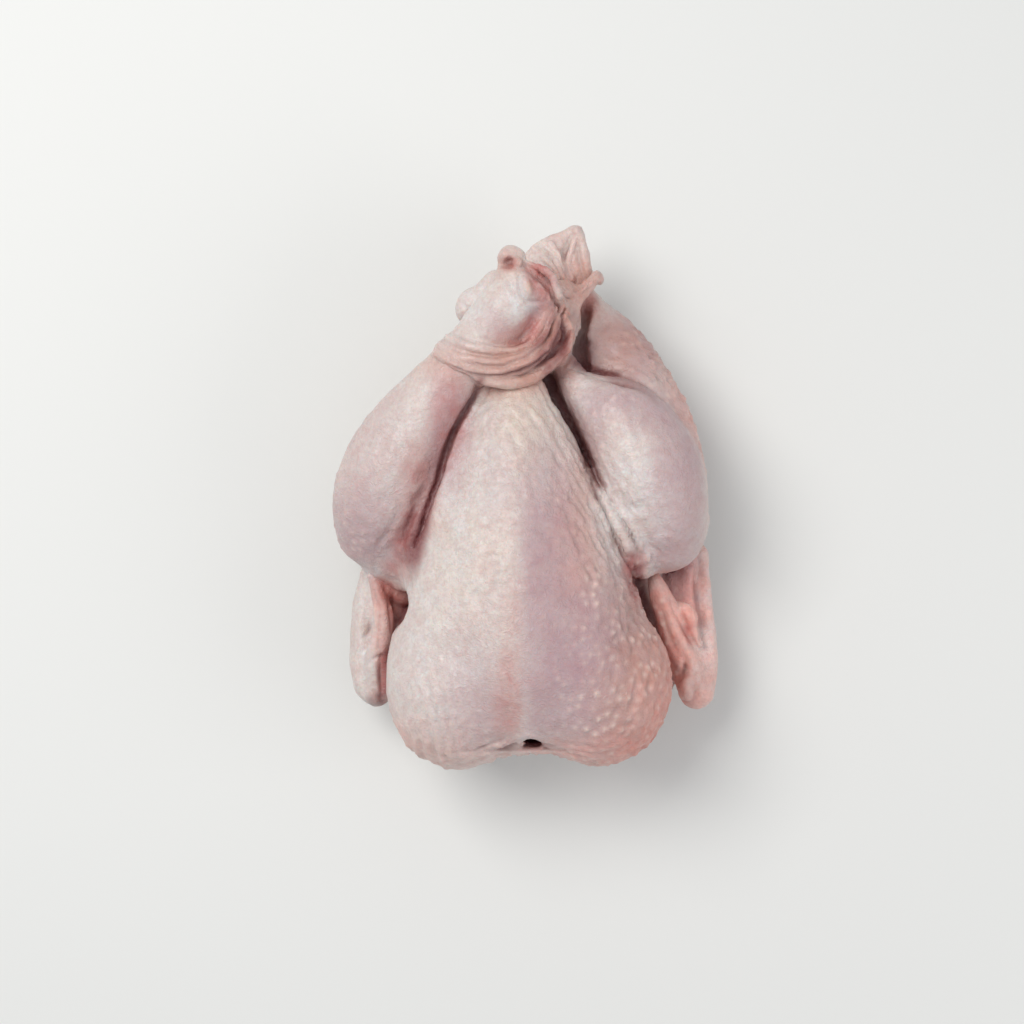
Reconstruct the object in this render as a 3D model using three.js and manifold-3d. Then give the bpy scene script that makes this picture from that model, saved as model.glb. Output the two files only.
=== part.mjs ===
import * as THREE from 'three';
import { SimplifyModifier } from 'three/addons/modifiers/SimplifyModifier.js';
import { mergeVertices } from 'three/addons/utils/BufferGeometryUtils.js';
import Module from 'manifold-3d';

// A whole raw chicken, plucked, with its legs crossed under a strap of its own skin.
// Millimetres, +Z up. The bird lies on its back: the breast is up, the tail and the hocks
// point along +Y and the neck end along -Y. Left is -X. The origin is on the surface that
// the bird lies on, under the middle of the bird.
//
// Every muscle, limb and fold is a rounded form, given by its distance field. The forms are
// blended into one field, and the skin is the surface where that field is zero.

// ---- Driving dimensions ----

// The two lofts of the body: [y, middle x, half width, lowest z, widest z, highest z]
const BACK = [
  [-104.5, -1.5, 4, 26, 34, 42],
  [-97.5, -0.5, 30, 13, 32, 56],
  [-81.5, -0.5, 45, 1, 30, 64],
  [-51.5, -1.5, 49, -2, 28, 66],
  [-11.5, -2.5, 49, -2, 28, 66],
  [28.5, 0.5, 44, 0, 28, 64],
  [56.5, 5.5, 34, 4, 30, 60],
  [78.5, 10.5, 22, 12, 33, 56],
  [96.5, 14.5, 12, 24, 38, 52],
  [106.5, 17.5, 4, 34, 42, 48],
];
const BREAST = [
  [-109.5, -0.5, 4, 48, 56, 64],
  [-104.5, -0.5, 32, 34, 56, 82],
  [-92.5, 0, 53, 22, 54, 93],
  [-73.5, -0.5, 60, 14, 52, 99.5],
  [-49.5, -3.5, 53, 12, 54, 100],
  [-25.5, -4.5, 45, 12, 54, 96.5],
  [-1.5, -5, 37, 12, 54, 91],
  [23.5, -5, 27, 14, 54, 85],
  [45.5, -4, 16, 20, 54, 80],
  [64.5, -1.5, 10, 28, 50, 73],
  [78.5, 2.5, 3, 36, 44, 52],
];
const BODY_SQUARENESS = 2.3; // 2 is an ellipse in section, more is boxier

// The two lobes of the breast at the neck end: middle, half sizes, turn about Z in degrees
const BREAST_LOBES = [
  { middle: [-30.5, -87.5, 59], half: [30, 32, 35], turn: 8 },
  { middle: [30.5, -86.5, 59], half: [31, 31, 35], turn: -8 },
];

// Middle lines of the limbs: [x, y, z, radius]
const KEEL = [
  [-2.5, -90, 79, 13],
  [-3.5, -76, 83.5, 15],
  [-4.5, -53.5, 85, 15.5],
  [-4.5, -11, 81, 14],
  [-5, 24, 71, 11],
];
// The skin that bridges the breast's sides to the drumsticks
const BREAST_SIDES = [
  [[-20, 44, 62, 9], [-26, 28, 64, 11.5], [-31, 10, 66, 12.5], [-37, -10, 66, 13], [-42, -26, 62, 12]],
  [[30, 4, 60, 7], [37.5, -11, 62, 9], [43.5, -26, 58, 9]],
];
const THIGHS = [
  [
    [29, 81.5, 38, 7],
    [37, 66, 38, 13.5],
    [46, 43, 40, 20],
    [52.5, 15.5, 42, 25],
    [57.5, -11.5, 44, 23],
  ],
  [
    [-12, 78.5, 36, 12],
    [-24.5, 51.5, 36, 18],
    [-43.5, 24.5, 36, 26],
    [-54.5, -2.5, 38, 26],
    [-56.5, -15.5, 42, 24],
  ],
];
const RIGHT_DRUMSTICK = [
  [61, -17, 53, 17],
  [57.5, -4.5, 57, 21.5],
  [52, 13.5, 61, 23],
  [40.5, 30.5, 63, 19],
  [30, 42, 63, 13],
  [21, 51, 62, 9.5],
  [8, 58.5, 62, 8.5],
  [-5.5, 65, 62, 9.5],
  [-16.5, 76.5, 61, 10],
  [-23.5, 81, 60, 8],
];
const RIGHT_HOCK = [[-21.5, 83, 62, 7], [-13, 90.5, 68, 7]];
const LEFT_DRUMSTICK = [
  [-68, -15.5, 50, 16],
  [-63.5, -2.5, 56, 22],
  [-56.5, 13, 60, 23],
  [-46.5, 30, 65, 20],
  [-34.5, 46.5, 70, 16],
  [-21.5, 63, 76, 13],
  [-11, 78, 80, 12.5],
  [-4, 88.5, 81, 11],
];
const LEFT_HOCK = [[-6.5, 90, 80, 8], [-7, 98, 81, 5.8], [-7, 100.5, 81, 5.6]];
const LEFT_KNUCKLE = { middle: [2, 87.5, 78], half: [12, 9.5, 10], turn: -40 };

// Clefts between the drumsticks and the breast: [x, y, radius], each cut at these depths
// below the skin. The right one is an open gap at its upper end.
const GAP = [
  [8, 50.5, 4.4],
  [12.5, 41, 4.2],
  [16.5, 33, 4],
  [21, 24.5, 3.6],
  [25.5, 15.5, 3],
];
const GAP_DEPTHS = [1, 6, 12];
const CREASE = [
  [-21, 51.5, 3],
  [-26.5, 40, 3],
  [-31.5, 27.5, 3],
  [-36, 16.5, 3],
  [-39.5, 5, 3],
  [-43.5, -7.5, 2.6],
];
const CREASE_DEPTHS = [1];

// Hollows between the right flank and the strap, and behind each wing: [x, y, z, radius]
const POCKETS = [
  [[27, 87, 51, 3.6], [24.5, 77, 50, 4.4], [22.5, 67.5, 51, 4.8], [23, 58.5, 54, 4.8]],
  [[-54, -46.5, 82, 4.5], [-54.5, -47, 60, 4.5], [-55, -48, 40, 4.5]],
  [[48, -36, 80, 4], [48.5, -37, 62, 4], [50, -39, 44, 4.5]],
];

const TAIL = [
  [[23, 84, 44, 8], [22, 98, 46, 6.5], [22, 110.5, 48, 4], [22, 116.5, 49, 2]],
  [[6.5, 93, 46, 13], [8.5, 103, 46, 9.5], [13.5, 110, 47, 5], [19.5, 115, 48, 2.5]],
];

// The strap of skin round the crossed hocks, and its twisted end
const STRAP = [
  [-28.5, 58.5, 75, 11],
  [-18.5, 57.5, 77, 10],
  [-7.5, 57, 77, 9.5],
  [3, 60.5, 74, 9],
  [10.5, 68.5, 70, 8.5],
  [14, 78, 64, 8],
  [15.5, 86.5, 56, 8],
];
const STRAP_ROOT = [[2, 69, 75, 7], [6, 77, 74, 8], [9, 86, 68, 7]];
const STRAP_END = [
  [13, 73, 67, 3.2],
  [17.5, 80, 65, 3.2],
  [23, 87.5, 60, 3.2],
  [27.5, 92.5, 56, 3],
  [30, 95.5, 53, 2.8],
];

// The folds gathered on the strap: [x, y, radius]
const STRAP_FOLDS = [
  [
    [-25, 53.5, 2.6],
    [-17.5, 49.5, 3],
    [-7.5, 48.5, 3.2],
    [2, 51, 3],
    [9, 56.5, 2.8],
    [15, 62, 2.4],
    [18.5, 68, 2.2],
  ],
  [
    [-38.5, 60.5, 2.5],
    [-30, 55.5, 3],
    [-20.5, 53, 3.2],
    [-10, 52.5, 3.4],
    [0.5, 57, 3.4],
    [8.5, 64, 3],
    [16, 78, 2.2],
  ],
  [
    [-37.5, 63.5, 2.2],
    [-29, 59, 2.6],
    [-19.5, 57, 2.8],
    [-10, 56.5, 2.8],
    [0, 60.5, 2.8],
    [7, 67.5, 2.8],
    [13.5, 81, 2.2],
  ],
  [
    [-34, 67, 1.8],
    [-28, 64, 2.2],
    [-20.5, 61.5, 2.4],
    [-12, 60, 2.4],
    [-3.5, 61.5, 2.4],
    [3, 66, 2.4],
    [10.5, 79.5, 2],
  ],
];
const FOLD_SINK = 0.35; // the share of its radius by which a fold sinks into the skin

// A wing's upper arm, forearm, folded hand and the smaller parts of the hand
const RIGHT_WING = {
  upper: [[42.5, -92, 34, 16], [58, -72.5, 26, 13], [71.5, -30, 24, 10]],
  fore: [
    [76.5, -27, 27, 5],
    [77.5, -38.5, 28, 4.6],
    [79, -52, 30, 4.8],
    [79.5, -65, 32, 5.5],
    [79, -76.5, 33, 6.5],
    [76, -87.5, 34, 8],
  ],
  hand: [
    [74.5, -88, 35, 8],
    [70, -74, 38, 7.5],
    [64.5, -58, 42, 6.5],
    [59, -44.5, 46, 4.8],
    [56.5, -38, 48, 3.4],
  ],
  details: [
    [[69, -52.5, 43, 3.6], [72.5, -54.5, 44.5, 4], [74.5, -61, 42.5, 3.6]],
  ],
};
const LEFT_WING = {
  upper: [[-43.5, -91, 34, 16], [-57.5, -70, 26, 13], [-63, -36, 24, 11]],
  fore: [
    [-68, -38.5, 24, 8],
    [-71, -52, 25, 8],
    [-72.5, -70, 27, 7.5],
    [-71, -83.5, 30, 7.5],
    [-68, -89, 31, 6],
  ],
  hand: [
    [-67, -87.5, 34, 6],
    [-67.5, -73.5, 38, 5],
    [-66.5, -63, 42, 4],
    [-65, -52.5, 45, 3.6],
    [-66, -44, 46, 3.4],
  ],
  details: [
    [[-68, -37.5, 46.5, 2.4], [-62, -41, 43.5, 4], [-56, -44, 39.5, 4]],
    [[-66, -43, 42, 4], [-62, -46, 38, 5], [-60, -54, 33, 5]],
  ],
};
// The webs of skin from the breast to the wings
const SHOULDER_WEBS = [
  [[-67, -33, 45, 3.6], [-59, -35.5, 48, 4.2], [-52, -38.5, 50, 4.2], [-48, -43, 52, 4]],
  [[50, -28, 30, 9], [52, -45, 28, 9], [56, -62, 27, 9]],
];
const WRIST_KNOB = { middle: [70.5, -83, 45], half: [4, 5.5, 4], turn: -20 };

// The folded neck skin, the cleft above it and the nub of skin in the cleft
const NECK_SKIN = [
  [-45.5, -104, 40, 7],
  [-32.5, -110.5, 38, 8],
  [-19, -110.5, 36, 8],
  [1.5, -105.5, 32, 8],
  [21.5, -108, 34, 7],
  [37, -104.5, 38, 6],
];
const NECK_CLEFT = [[1, -109.5, 74, 5], [1, -112, 62, 6], [0, -113.5, 50, 5]];
const NECK_NUB = [[-10, -112, 60, 2.6], [-5, -109.8, 64, 2.6], [0, -110, 63, 2.4]];

// How softly one form runs into the next
const MUSCLE_BLEND = 9;
const KEEL_BLEND = 16;
const TAIL_BLEND = 5;
const WING_BLEND = 2.5;
const CREASE_BLEND = 3;
const FOLD_BLEND = 1;

// The field's box and sample spacing, and the size of the finished mesh
const FIELD_LOW = [-92, -126, -8];
const FIELD_HIGH = [92, 126, 112];
const GRID_STEP = 2;
const CURVE_STEPS = 6;
const VERTEX_TARGET = 5000; // a closed mesh has about twice as many triangles as vertices

// Numbers of the method, not of the bird
const FAR_OUTSIDE = 1000;
const LEAST_SLOPE = 1e-6;
const REACH_OF_BLEND = 2; // a form changes the field up to this many blends outside itself
const GROUND_SIZE = 400;
const GROUND_DEPTH = 20;

const SKIN = { color: 0xd9c3bc, roughness: 0.5, metalness: 0 };

// ---- Curves ----

// A Catmull-Rom curve through the stations, with every number of a station eased alike.
function smoothLine(stations) {
  const last = stations.length - 1;
  const mirrored = (a, b) => a.map((value, i) => 2 * value - b[i]);
  const knots = [
    mirrored(stations[0], stations[1]),
    ...stations,
    mirrored(stations[last], stations[last - 1]),
  ];
  const line = [];
  for (let span = 1; span <= last; span++) {
    const [a, b, c, d] = knots.slice(span - 1, span + 3);
    for (let step = 0; step < CURVE_STEPS; step++) {
      const t = step / CURVE_STEPS;
      line.push(b.map((value, i) => catmullRom(a[i], value, c[i], d[i], t)));
    }
  }
  line.push(stations[last]);
  return line;
}

function catmullRom(a, b, c, d, t) {
  const bend = 2 * a - 5 * b + 4 * c - d;
  const twist = 3 * b - a - 3 * c + d;
  return 0.5 * (2 * b + (c - a) * t + bend * t * t + twist * t * t * t);
}

// A cubic through the knots that never overshoots them.
function monotoneCurve(xs, ys) {
  const count = xs.length;
  const slopes = [];
  for (let i = 0; i < count - 1; i++) {
    slopes.push((ys[i + 1] - ys[i]) / (xs[i + 1] - xs[i]));
  }
  const tangents = [slopes[0]];
  for (let i = 1; i < count - 1; i++) {
    const before = xs[i] - xs[i - 1];
    const after = xs[i + 1] - xs[i];
    const one = 2 * after + before;
    const two = after + 2 * before;
    const same = slopes[i - 1] * slopes[i] > 0;
    tangents.push(same ? (one + two) / (one / slopes[i - 1] + two / slopes[i]) : 0);
  }
  tangents.push(slopes[count - 2]);
  return (x) => {
    let i = 0;
    while (i < count - 2 && x > xs[i + 1]) {
      i++;
    }
    const width = xs[i + 1] - xs[i];
    const t = (x - xs[i]) / width;
    const s = 1 - t;
    return (1 + 2 * t) * s * s * ys[i] + t * s * s * width * tangents[i]
      + t * t * (3 - 2 * t) * ys[i + 1] - t * t * s * width * tangents[i + 1];
  };
}

// ---- Forms: each gives its box and the signed distance at a point ----

// A chain of tapered round rods along a smooth line through the stations [x, y, z, radius].
function limb(stations) {
  const line = smoothLine(stations);
  const low = [0, 1, 2].map((i) => Math.min(...line.map((p) => p[i] - p[3])));
  const high = [0, 1, 2].map((i) => Math.max(...line.map((p) => p[i] + p[3])));
  const distance = (x, y, z) => {
    let nearest = Infinity;
    for (let i = 0; i < line.length - 1; i++) {
      nearest = Math.min(nearest, rodDistance(line[i], line[i + 1], x, y, z));
    }
    return nearest;
  };
  return { low, high, distance };
}

function rodDistance(start, end, x, y, z) {
  const along = [end[0] - start[0], end[1] - start[1], end[2] - start[2]];
  const square = along[0] ** 2 + along[1] ** 2 + along[2] ** 2;
  const dot = (x - start[0]) * along[0] + (y - start[1]) * along[1] + (z - start[2]) * along[2];
  const t = Math.min(Math.max(dot / square, 0), 1);
  const offset = Math.hypot(
    x - start[0] - t * along[0],
    y - start[1] - t * along[1],
    z - start[2] - t * along[2],
  );
  return offset - (start[3] + t * (end[3] - start[3]));
}

// An egg of three half sizes, turned about Z.
function egg({ middle, half, turn }) {
  const cos = Math.cos(THREE.MathUtils.degToRad(turn));
  const sin = Math.sin(THREE.MathUtils.degToRad(turn));
  const reach = [
    Math.hypot(half[0] * cos, half[1] * sin),
    Math.hypot(half[0] * sin, half[1] * cos),
    half[2],
  ];
  const distance = (x, y, z) => {
    const dx = x - middle[0];
    const dy = y - middle[1];
    const own = [cos * dx + sin * dy, cos * dy - sin * dx, z - middle[2]];
    const ratio = Math.hypot(...own.map((value, i) => value / half[i]));
    const slope = Math.hypot(...own.map((value, i) => value / half[i] ** 2));
    return (ratio * (ratio - 1)) / Math.max(slope, LEAST_SLOPE);
  };
  return {
    low: middle.map((value, i) => value - reach[i]),
    high: middle.map((value, i) => value + reach[i]),
    distance,
  };
}

// A body along Y through the rows [y, middle x, half width, lowest z, widest z, highest z].
// Squares of the half sizes are eased, which rounds the two ends.
function loft(rows) {
  const column = (pick) => monotoneCurve(rows.map((row) => row[0]), rows.map(pick));
  const middle = column((row) => row[1]);
  const width = column((row) => row[2] ** 2);
  const level = column((row) => row[4]);
  const above = column((row) => (row[5] - row[4]) ** 2);
  const below = column((row) => (row[4] - row[3]) ** 2);
  const front = rows[0][0];
  const rear = rows[rows.length - 1][0];
  const sections = new Map();
  const sectionAt = (y) => {
    if (!sections.has(y)) {
      const inside = Math.min(Math.max(y, front), rear);
      const size = [width, above, below].map((curve) => Math.sqrt(curve(inside)));
      sections.set(y, [middle(inside), level(inside), ...size]);
    }
    return sections.get(y);
  };
  const distance = (x, y, z) => {
    const [cx, cz, halfWidth, up, down] = sectionAt(y);
    const height = z > cz ? up : down;
    const reach = Math.abs((x - cx) / halfWidth) ** BODY_SQUARENESS
      + Math.abs((z - cz) / height) ** BODY_SQUARENESS;
    const beyond = Math.max(front - y, y - rear, 0);
    return (reach ** (1 / BODY_SQUARENESS) - 1) * Math.min(halfWidth, height) + beyond;
  };
  const least = (pick) => Math.min(...rows.map(pick));
  const most = (pick) => Math.max(...rows.map(pick));
  return {
    low: [least((row) => row[1] - row[2]), front, least((row) => row[3])],
    high: [most((row) => row[1] + row[2]), rear, most((row) => row[5])],
    distance,
  };
}

// ---- The field ----

function smoothMinimum(a, b, blend) {
  const h = Math.min(Math.max(0.5 + (0.5 * (b - a)) / blend, 0), 1);
  return b + (a - b) * h - blend * h * (1 - h);
}

class Field {
  constructor(low, high, step) {
    this.low = low;
    this.step = step;
    this.count = low.map((value, i) => Math.ceil((high[i] - value) / step) + 1);
    this.values = new Float64Array(this.count[0] * this.count[1] * this.count[2]).fill(FAR_OUTSIDE);
  }

  index(i, j, k) {
    return (k * this.count[1] + j) * this.count[0] + i;
  }

  place(axis, i) {
    return this.low[axis] + i * this.step;
  }

  // Changes every sample in reach of a form: change(old value, distance) is the new value.
  apply(form, reach, change) {
    const from = form.low.map((value, axis) => {
      return Math.max(0, Math.floor((value - reach - this.low[axis]) / this.step));
    });
    const to = form.high.map((value, axis) => {
      return Math.min(this.count[axis] - 1, Math.ceil((value + reach - this.low[axis]) / this.step));
    });
    for (let k = from[2]; k <= to[2]; k++) {
      for (let j = from[1]; j <= to[1]; j++) {
        for (let i = from[0]; i <= to[0]; i++) {
          const distance = form.distance(this.place(0, i), this.place(1, j), this.place(2, k));
          const at = this.index(i, j, k);
          this.values[at] = change(this.values[at], distance);
        }
      }
    }
  }

  join(form, blend) {
    this.apply(form, REACH_OF_BLEND * blend, (old, distance) => smoothMinimum(old, distance, blend));
  }

  carve(form, blend) {
    this.apply(form, REACH_OF_BLEND * blend, (old, distance) => -smoothMinimum(-old, distance, blend));
  }

  // The height of the highest skin over a point of the plan.
  topAt(x, y) {
    const i = Math.round((x - this.low[0]) / this.step);
    const j = Math.round((y - this.low[1]) / this.step);
    let k = this.count[2] - 1;
    while (k > 0 && this.values[this.index(i, j, k)] > 0) {
      k--;
    }
    const inner = this.values[this.index(i, j, k)];
    const outer = this.values[this.index(i, j, k + 1)];
    return this.place(2, k + inner / (inner - outer));
  }
}

// ---- The bird ----

function addBody(field) {
  field.join(loft(BACK), MUSCLE_BLEND);
  field.join(loft(BREAST), MUSCLE_BLEND);
  for (const lobe of BREAST_LOBES) {
    field.join(egg(lobe), MUSCLE_BLEND);
  }
  for (const side of BREAST_SIDES) {
    field.join(limb(side), MUSCLE_BLEND);
  }
  field.join(limb(KEEL), KEEL_BLEND);
}

function addLegs(field) {
  for (const thigh of THIGHS) {
    field.join(limb(thigh), MUSCLE_BLEND);
  }
  field.join(limb(RIGHT_DRUMSTICK), CREASE_BLEND);
  field.join(limb(RIGHT_HOCK), TAIL_BLEND);
  field.join(limb(LEFT_DRUMSTICK), CREASE_BLEND);
  field.join(limb(LEFT_HOCK), CREASE_BLEND);
  field.join(egg(LEFT_KNUCKLE), CREASE_BLEND);
  cleave(field, GAP, GAP_DEPTHS);
  cleave(field, CREASE, CREASE_DEPTHS);
  for (const pocket of POCKETS) {
    field.carve(limb(pocket), CREASE_BLEND);
  }
}

// Cuts a cleft along a line [x, y, radius], in steps measured down from the skin.
function cleave(field, line, depths) {
  const tops = line.map(([x, y]) => field.topAt(x, y));
  for (const depth of depths) {
    const stations = line.map(([x, y, radius], i) => [x, y, tops[i] - depth, radius]);
    field.carve(limb(stations), CREASE_BLEND);
  }
}

function addTailAndStrap(field) {
  for (const side of TAIL) {
    field.join(limb(side), TAIL_BLEND);
  }
  field.join(limb(STRAP), CREASE_BLEND);
  field.join(limb(STRAP_ROOT), CREASE_BLEND);
  field.join(limb(STRAP_END), WING_BLEND);
  const folds = STRAP_FOLDS.map((fold) => laidOnSkin(field, fold));
  for (const fold of folds) {
    field.join(limb(fold), FOLD_BLEND);
  }
}

// Gives each station [x, y, radius] of a fold the height of the skin under it.
function laidOnSkin(field, fold) {
  return fold.map(([x, y, radius]) => [x, y, field.topAt(x, y) - FOLD_SINK * radius, radius]);
}

function addWings(field) {
  for (const web of SHOULDER_WEBS) {
    field.join(limb(web), TAIL_BLEND);
  }
  for (const wing of [RIGHT_WING, LEFT_WING]) {
    field.join(limb(wing.upper), TAIL_BLEND);
    field.join(limb(wing.fore), WING_BLEND);
    field.join(limb(wing.hand), WING_BLEND);
    for (const detail of wing.details) {
      field.join(limb(detail), FOLD_BLEND);
    }
  }
  field.join(egg(WRIST_KNOB), FOLD_BLEND);
}

function addNeck(field) {
  field.join(limb(NECK_SKIN), CREASE_BLEND);
  field.carve(limb(NECK_CLEFT), CREASE_BLEND);
  field.join(limb(NECK_NUB), FOLD_BLEND);
}

// ---- From the field to a closed solid ----

// The six tetrahedra that fill a grid cell. A corner's bits 1, 2 and 4 are its X, Y and Z
// steps. Odd tetrahedra are mirror images of the even ones.
const TETRAHEDRA = [
  { corners: [0, 1, 3, 7], odd: false },
  { corners: [0, 1, 5, 7], odd: true },
  { corners: [0, 2, 3, 7], odd: true },
  { corners: [0, 2, 6, 7], odd: false },
  { corners: [0, 4, 5, 7], odd: false },
  { corners: [0, 4, 6, 7], odd: true },
];
const NEAR_CORNER = 0.06; // keeps cut points off the grid's corners, so no triangle collapses

function skinSurface(field) {
  const positions = [];
  const triangles = [];
  const cuts = new Map();
  const cornerOf = (i, j, k, bits) => {
    return field.index(i + (bits & 1), j + ((bits >> 1) & 1), k + (bits >> 2));
  };
  const cutPoint = (i, j, k, a, b) => {
    const low = Math.min(a, b);
    const high = Math.max(a, b);
    const key = cornerOf(i, j, k, low) * 8 + (high - low);
    if (!cuts.has(key)) {
      const inner = field.values[cornerOf(i, j, k, low)];
      const outer = field.values[cornerOf(i, j, k, high)];
      const t = Math.min(Math.max(inner / (inner - outer), NEAR_CORNER), 1 - NEAR_CORNER);
      cuts.set(key, positions.length / 3);
      [i, j, k].forEach((base, axis) => {
        const from = (low >> axis) & 1;
        const to = (high >> axis) & 1;
        positions.push(field.place(axis, base + from + t * (to - from)));
      });
    }
    return cuts.get(key);
  };
  for (let k = 0; k < field.count[2] - 1; k++) {
    for (let j = 0; j < field.count[1] - 1; j++) {
      for (let i = 0; i < field.count[0] - 1; i++) {
        for (const { corners, odd } of TETRAHEDRA) {
          const inside = corners.filter((c) => field.values[cornerOf(i, j, k, c)] < 0);
          if (inside.length > 0 && inside.length < 4) {
            const outside = corners.filter((c) => !inside.includes(c));
            const cut = (a, b) => cutPoint(i, j, k, a, b);
            const flip = isOddOrder([...inside, ...outside]) !== odd;
            triangles.push(...cutTetrahedron(inside, outside, cut, flip));
          }
        }
      }
    }
  }
  const geometry = new THREE.BufferGeometry();
  geometry.setAttribute('position', new THREE.BufferAttribute(new Float32Array(positions), 3));
  geometry.setIndex(triangles);
  return geometry;
}

function isOddOrder(order) {
  let swaps = 0;
  for (let i = 0; i < order.length; i++) {
    for (let j = i + 1; j < order.length; j++) {
      if (order[i] > order[j]) {
        swaps++;
      }
    }
  }
  return swaps % 2 === 1;
}

// The one or two triangles between the inside and the outside corners of a tetrahedron.
function cutTetrahedron(inside, outside, cut, flip) {
  if (inside.length === 2) {
    const ring = [
      cut(inside[0], outside[0]),
      cut(inside[0], outside[1]),
      cut(inside[1], outside[1]),
      cut(inside[1], outside[0]),
    ];
    const [a, b, c, d] = flip ? ring.reverse() : ring;
    return [a, b, c, a, c, d];
  }
  const ring = inside.length === 1
    ? outside.map((corner) => cut(inside[0], corner))
    : inside.map((corner) => cut(corner, outside[0]));
  return flip ? ring.reverse() : ring;
}

function toSolid(wasm, geometry) {
  const bare = geometry.clone();
  bare.deleteAttribute('normal');
  bare.deleteAttribute('uv');
  const merged = mergeVertices(bare);
  return new wasm.Manifold(new wasm.Mesh({
    numProp: 3,
    vertProperties: new Float32Array(merged.attributes.position.array),
    triVerts: new Uint32Array(merged.index.array),
  }));
}

function toGeometry(solid) {
  const mesh = solid.getMesh();
  const geometry = new THREE.BufferGeometry();
  geometry.setAttribute('position', new THREE.BufferAttribute(mesh.vertProperties, 3));
  geometry.setIndex(new THREE.BufferAttribute(mesh.triVerts, 1));
  return geometry;
}

// Cuts off what would sink below the surface that the bird lies on.
function restOnGround(wasm, geometry) {
  const slab = new THREE.BoxGeometry(GROUND_SIZE, GROUND_SIZE, GROUND_DEPTH);
  const ground = slab.translate(0, 0, -GROUND_DEPTH / 2);
  return toGeometry(toSolid(wasm, geometry).subtract(toSolid(wasm, ground)));
}

// Puts the middle of the bird's plan over the origin.
function centred(geometry) {
  geometry.computeBoundingBox();
  const middle = geometry.boundingBox.getCenter(new THREE.Vector3());
  return geometry.translate(-middle.x, -middle.y, 0);
}

async function chickenGeometry() {
  const field = new Field(FIELD_LOW, FIELD_HIGH, GRID_STEP);
  addBody(field);
  addLegs(field);
  addTailAndStrap(field);
  addWings(field);
  addNeck(field);
  const fine = skinSurface(field);
  const surplus = fine.attributes.position.count - VERTEX_TARGET;
  const light = await new SimplifyModifier().modify(fine, surplus);
  const wasm = await Module();
  wasm.setup();
  const geometry = centred(restOnGround(wasm, light));
  geometry.computeVertexNormals();
  return geometry;
}

const chicken = new THREE.Mesh(await chickenGeometry(), new THREE.MeshStandardMaterial(SKIN));
chicken.name = 'whole_chicken';

const group = new THREE.Group();
group.add(chicken);

export default group;
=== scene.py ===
"""The looks of a whole raw chicken, trussed with its own skin.

The skin is built from nearly the same forms as the CAD solid: rounded muscles, limbs and folds,
blended into one distance field (millimetres, frame axes). Here the field is sampled finely,
its zero surface is meshed, and the small relief of the skin is pushed into the mesh.
Masks worked out from place and hollows then drive the colours of one procedural material, with painted shade
in hollows, grooves and gaps and painted highlights on the goosebumps.
"""

import math

import bpy
import mathutils
import numpy as np
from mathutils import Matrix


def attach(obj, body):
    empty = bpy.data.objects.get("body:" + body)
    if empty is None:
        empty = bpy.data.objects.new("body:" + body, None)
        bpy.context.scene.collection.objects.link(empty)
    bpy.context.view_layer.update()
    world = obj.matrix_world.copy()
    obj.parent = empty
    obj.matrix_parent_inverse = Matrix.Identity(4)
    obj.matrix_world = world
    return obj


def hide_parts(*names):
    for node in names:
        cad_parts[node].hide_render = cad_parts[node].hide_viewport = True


MM = 0.001
SEED = 7

# ---- Forms of the body, in millimetres ----

# Lofts: [y, middle x, half width, lowest z, widest z, highest z]
BACK = [
    [-104.5, -1.5, 4, 26, 34, 42],
    [-97.5, -0.5, 30, 13, 32, 56],
    [-81.5, -0.5, 45, 1, 30, 64],
    [-51.5, -1.5, 49, -2, 28, 66],
    [-11.5, -2.5, 49, -2, 28, 66],
    [28.5, 0.5, 44, 0, 28, 64],
    [56.5, 5.5, 34, 4, 30, 60],
    [78.5, 10.5, 22, 12, 33, 56],
    [96.5, 14.5, 12, 24, 38, 52],
    [106.5, 17.5, 4, 34, 42, 48],
]
BREAST = [
    [-109.5, -0.5, 4, 48, 56, 64],
    [-104.5, -0.5, 32, 34, 56, 82],
    [-92.5, 0, 53, 22, 54, 93],
    [-73.5, -0.5, 60, 14, 52, 99.5],
    [-49.5, -3.5, 53, 12, 54, 100],
    [-25.5, -4.5, 45, 12, 54, 96.5],
    [-1.5, -5, 37, 12, 54, 91],
    [23.5, -5, 27, 14, 54, 85],
    [45.5, -4, 16, 20, 54, 80],
    [64.5, -1.5, 10, 28, 50, 73],
    [78.5, 2.5, 3, 36, 44, 52],
]
BODY_SQUARENESS = 2.3
BREAST_SIDES = [
    [[-20, 44, 62, 9], [-26, 28, 64, 11.5], [-31, 10, 66, 12.5], [-37, -10, 66, 13], [-42, -26, 62, 12]],
    [[30, 4, 60, 7], [37.5, -11, 62, 9], [43.5, -26, 58, 9]],
]

# Eggs: middle, half sizes, turn about Z in degrees
BREAST_LOBES = [
    ([-30.5, -87.5, 59], [30, 32, 35], 8),
    ([30.5, -86.5, 59], [31, 31, 35], -8),
]
LEFT_KNUCKLE = ([2, 87.5, 78], [12, 9.5, 10], -40)
WRIST_KNOB = ([72.5, -84.5, 41.5], [4.6, 7.5, 4], -24)

# Limbs: stations [x, y, z, radius] along the middle line. Folds and clefts follow the skin, so their
# stations are [x, y, radius].
KEEL = [
    [-2.5, -90, 79, 13], [-3.5, -76, 83.5, 15], [-4.5, -53.5, 85, 15.5], [-4.5, -11, 81, 14],
    [-5, 24, 71, 11],
]
THIGHS = [
    [[29, 81.5, 38, 7], [37, 66, 38, 13.5], [46, 43, 40, 20], [52.5, 15.5, 42, 25], [57.5, -11.5, 44, 23]],
    [[-12, 78.5, 36, 12], [-24.5, 51.5, 36, 18], [-43.5, 24.5, 36, 26], [-54.5, -2.5, 38, 26],
     [-56.5, -15.5, 42, 24]],
]
RIGHT_DRUMSTICK = [
    [61, -17, 53, 17], [57.5, -4.5, 57, 21.5], [52, 13.5, 61, 23], [41, 31, 63, 18.5],
    [29.2, 40.3, 63, 11.4], [19.5, 48.5, 61, 7.5], [12, 58, 58, 6],
]
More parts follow.
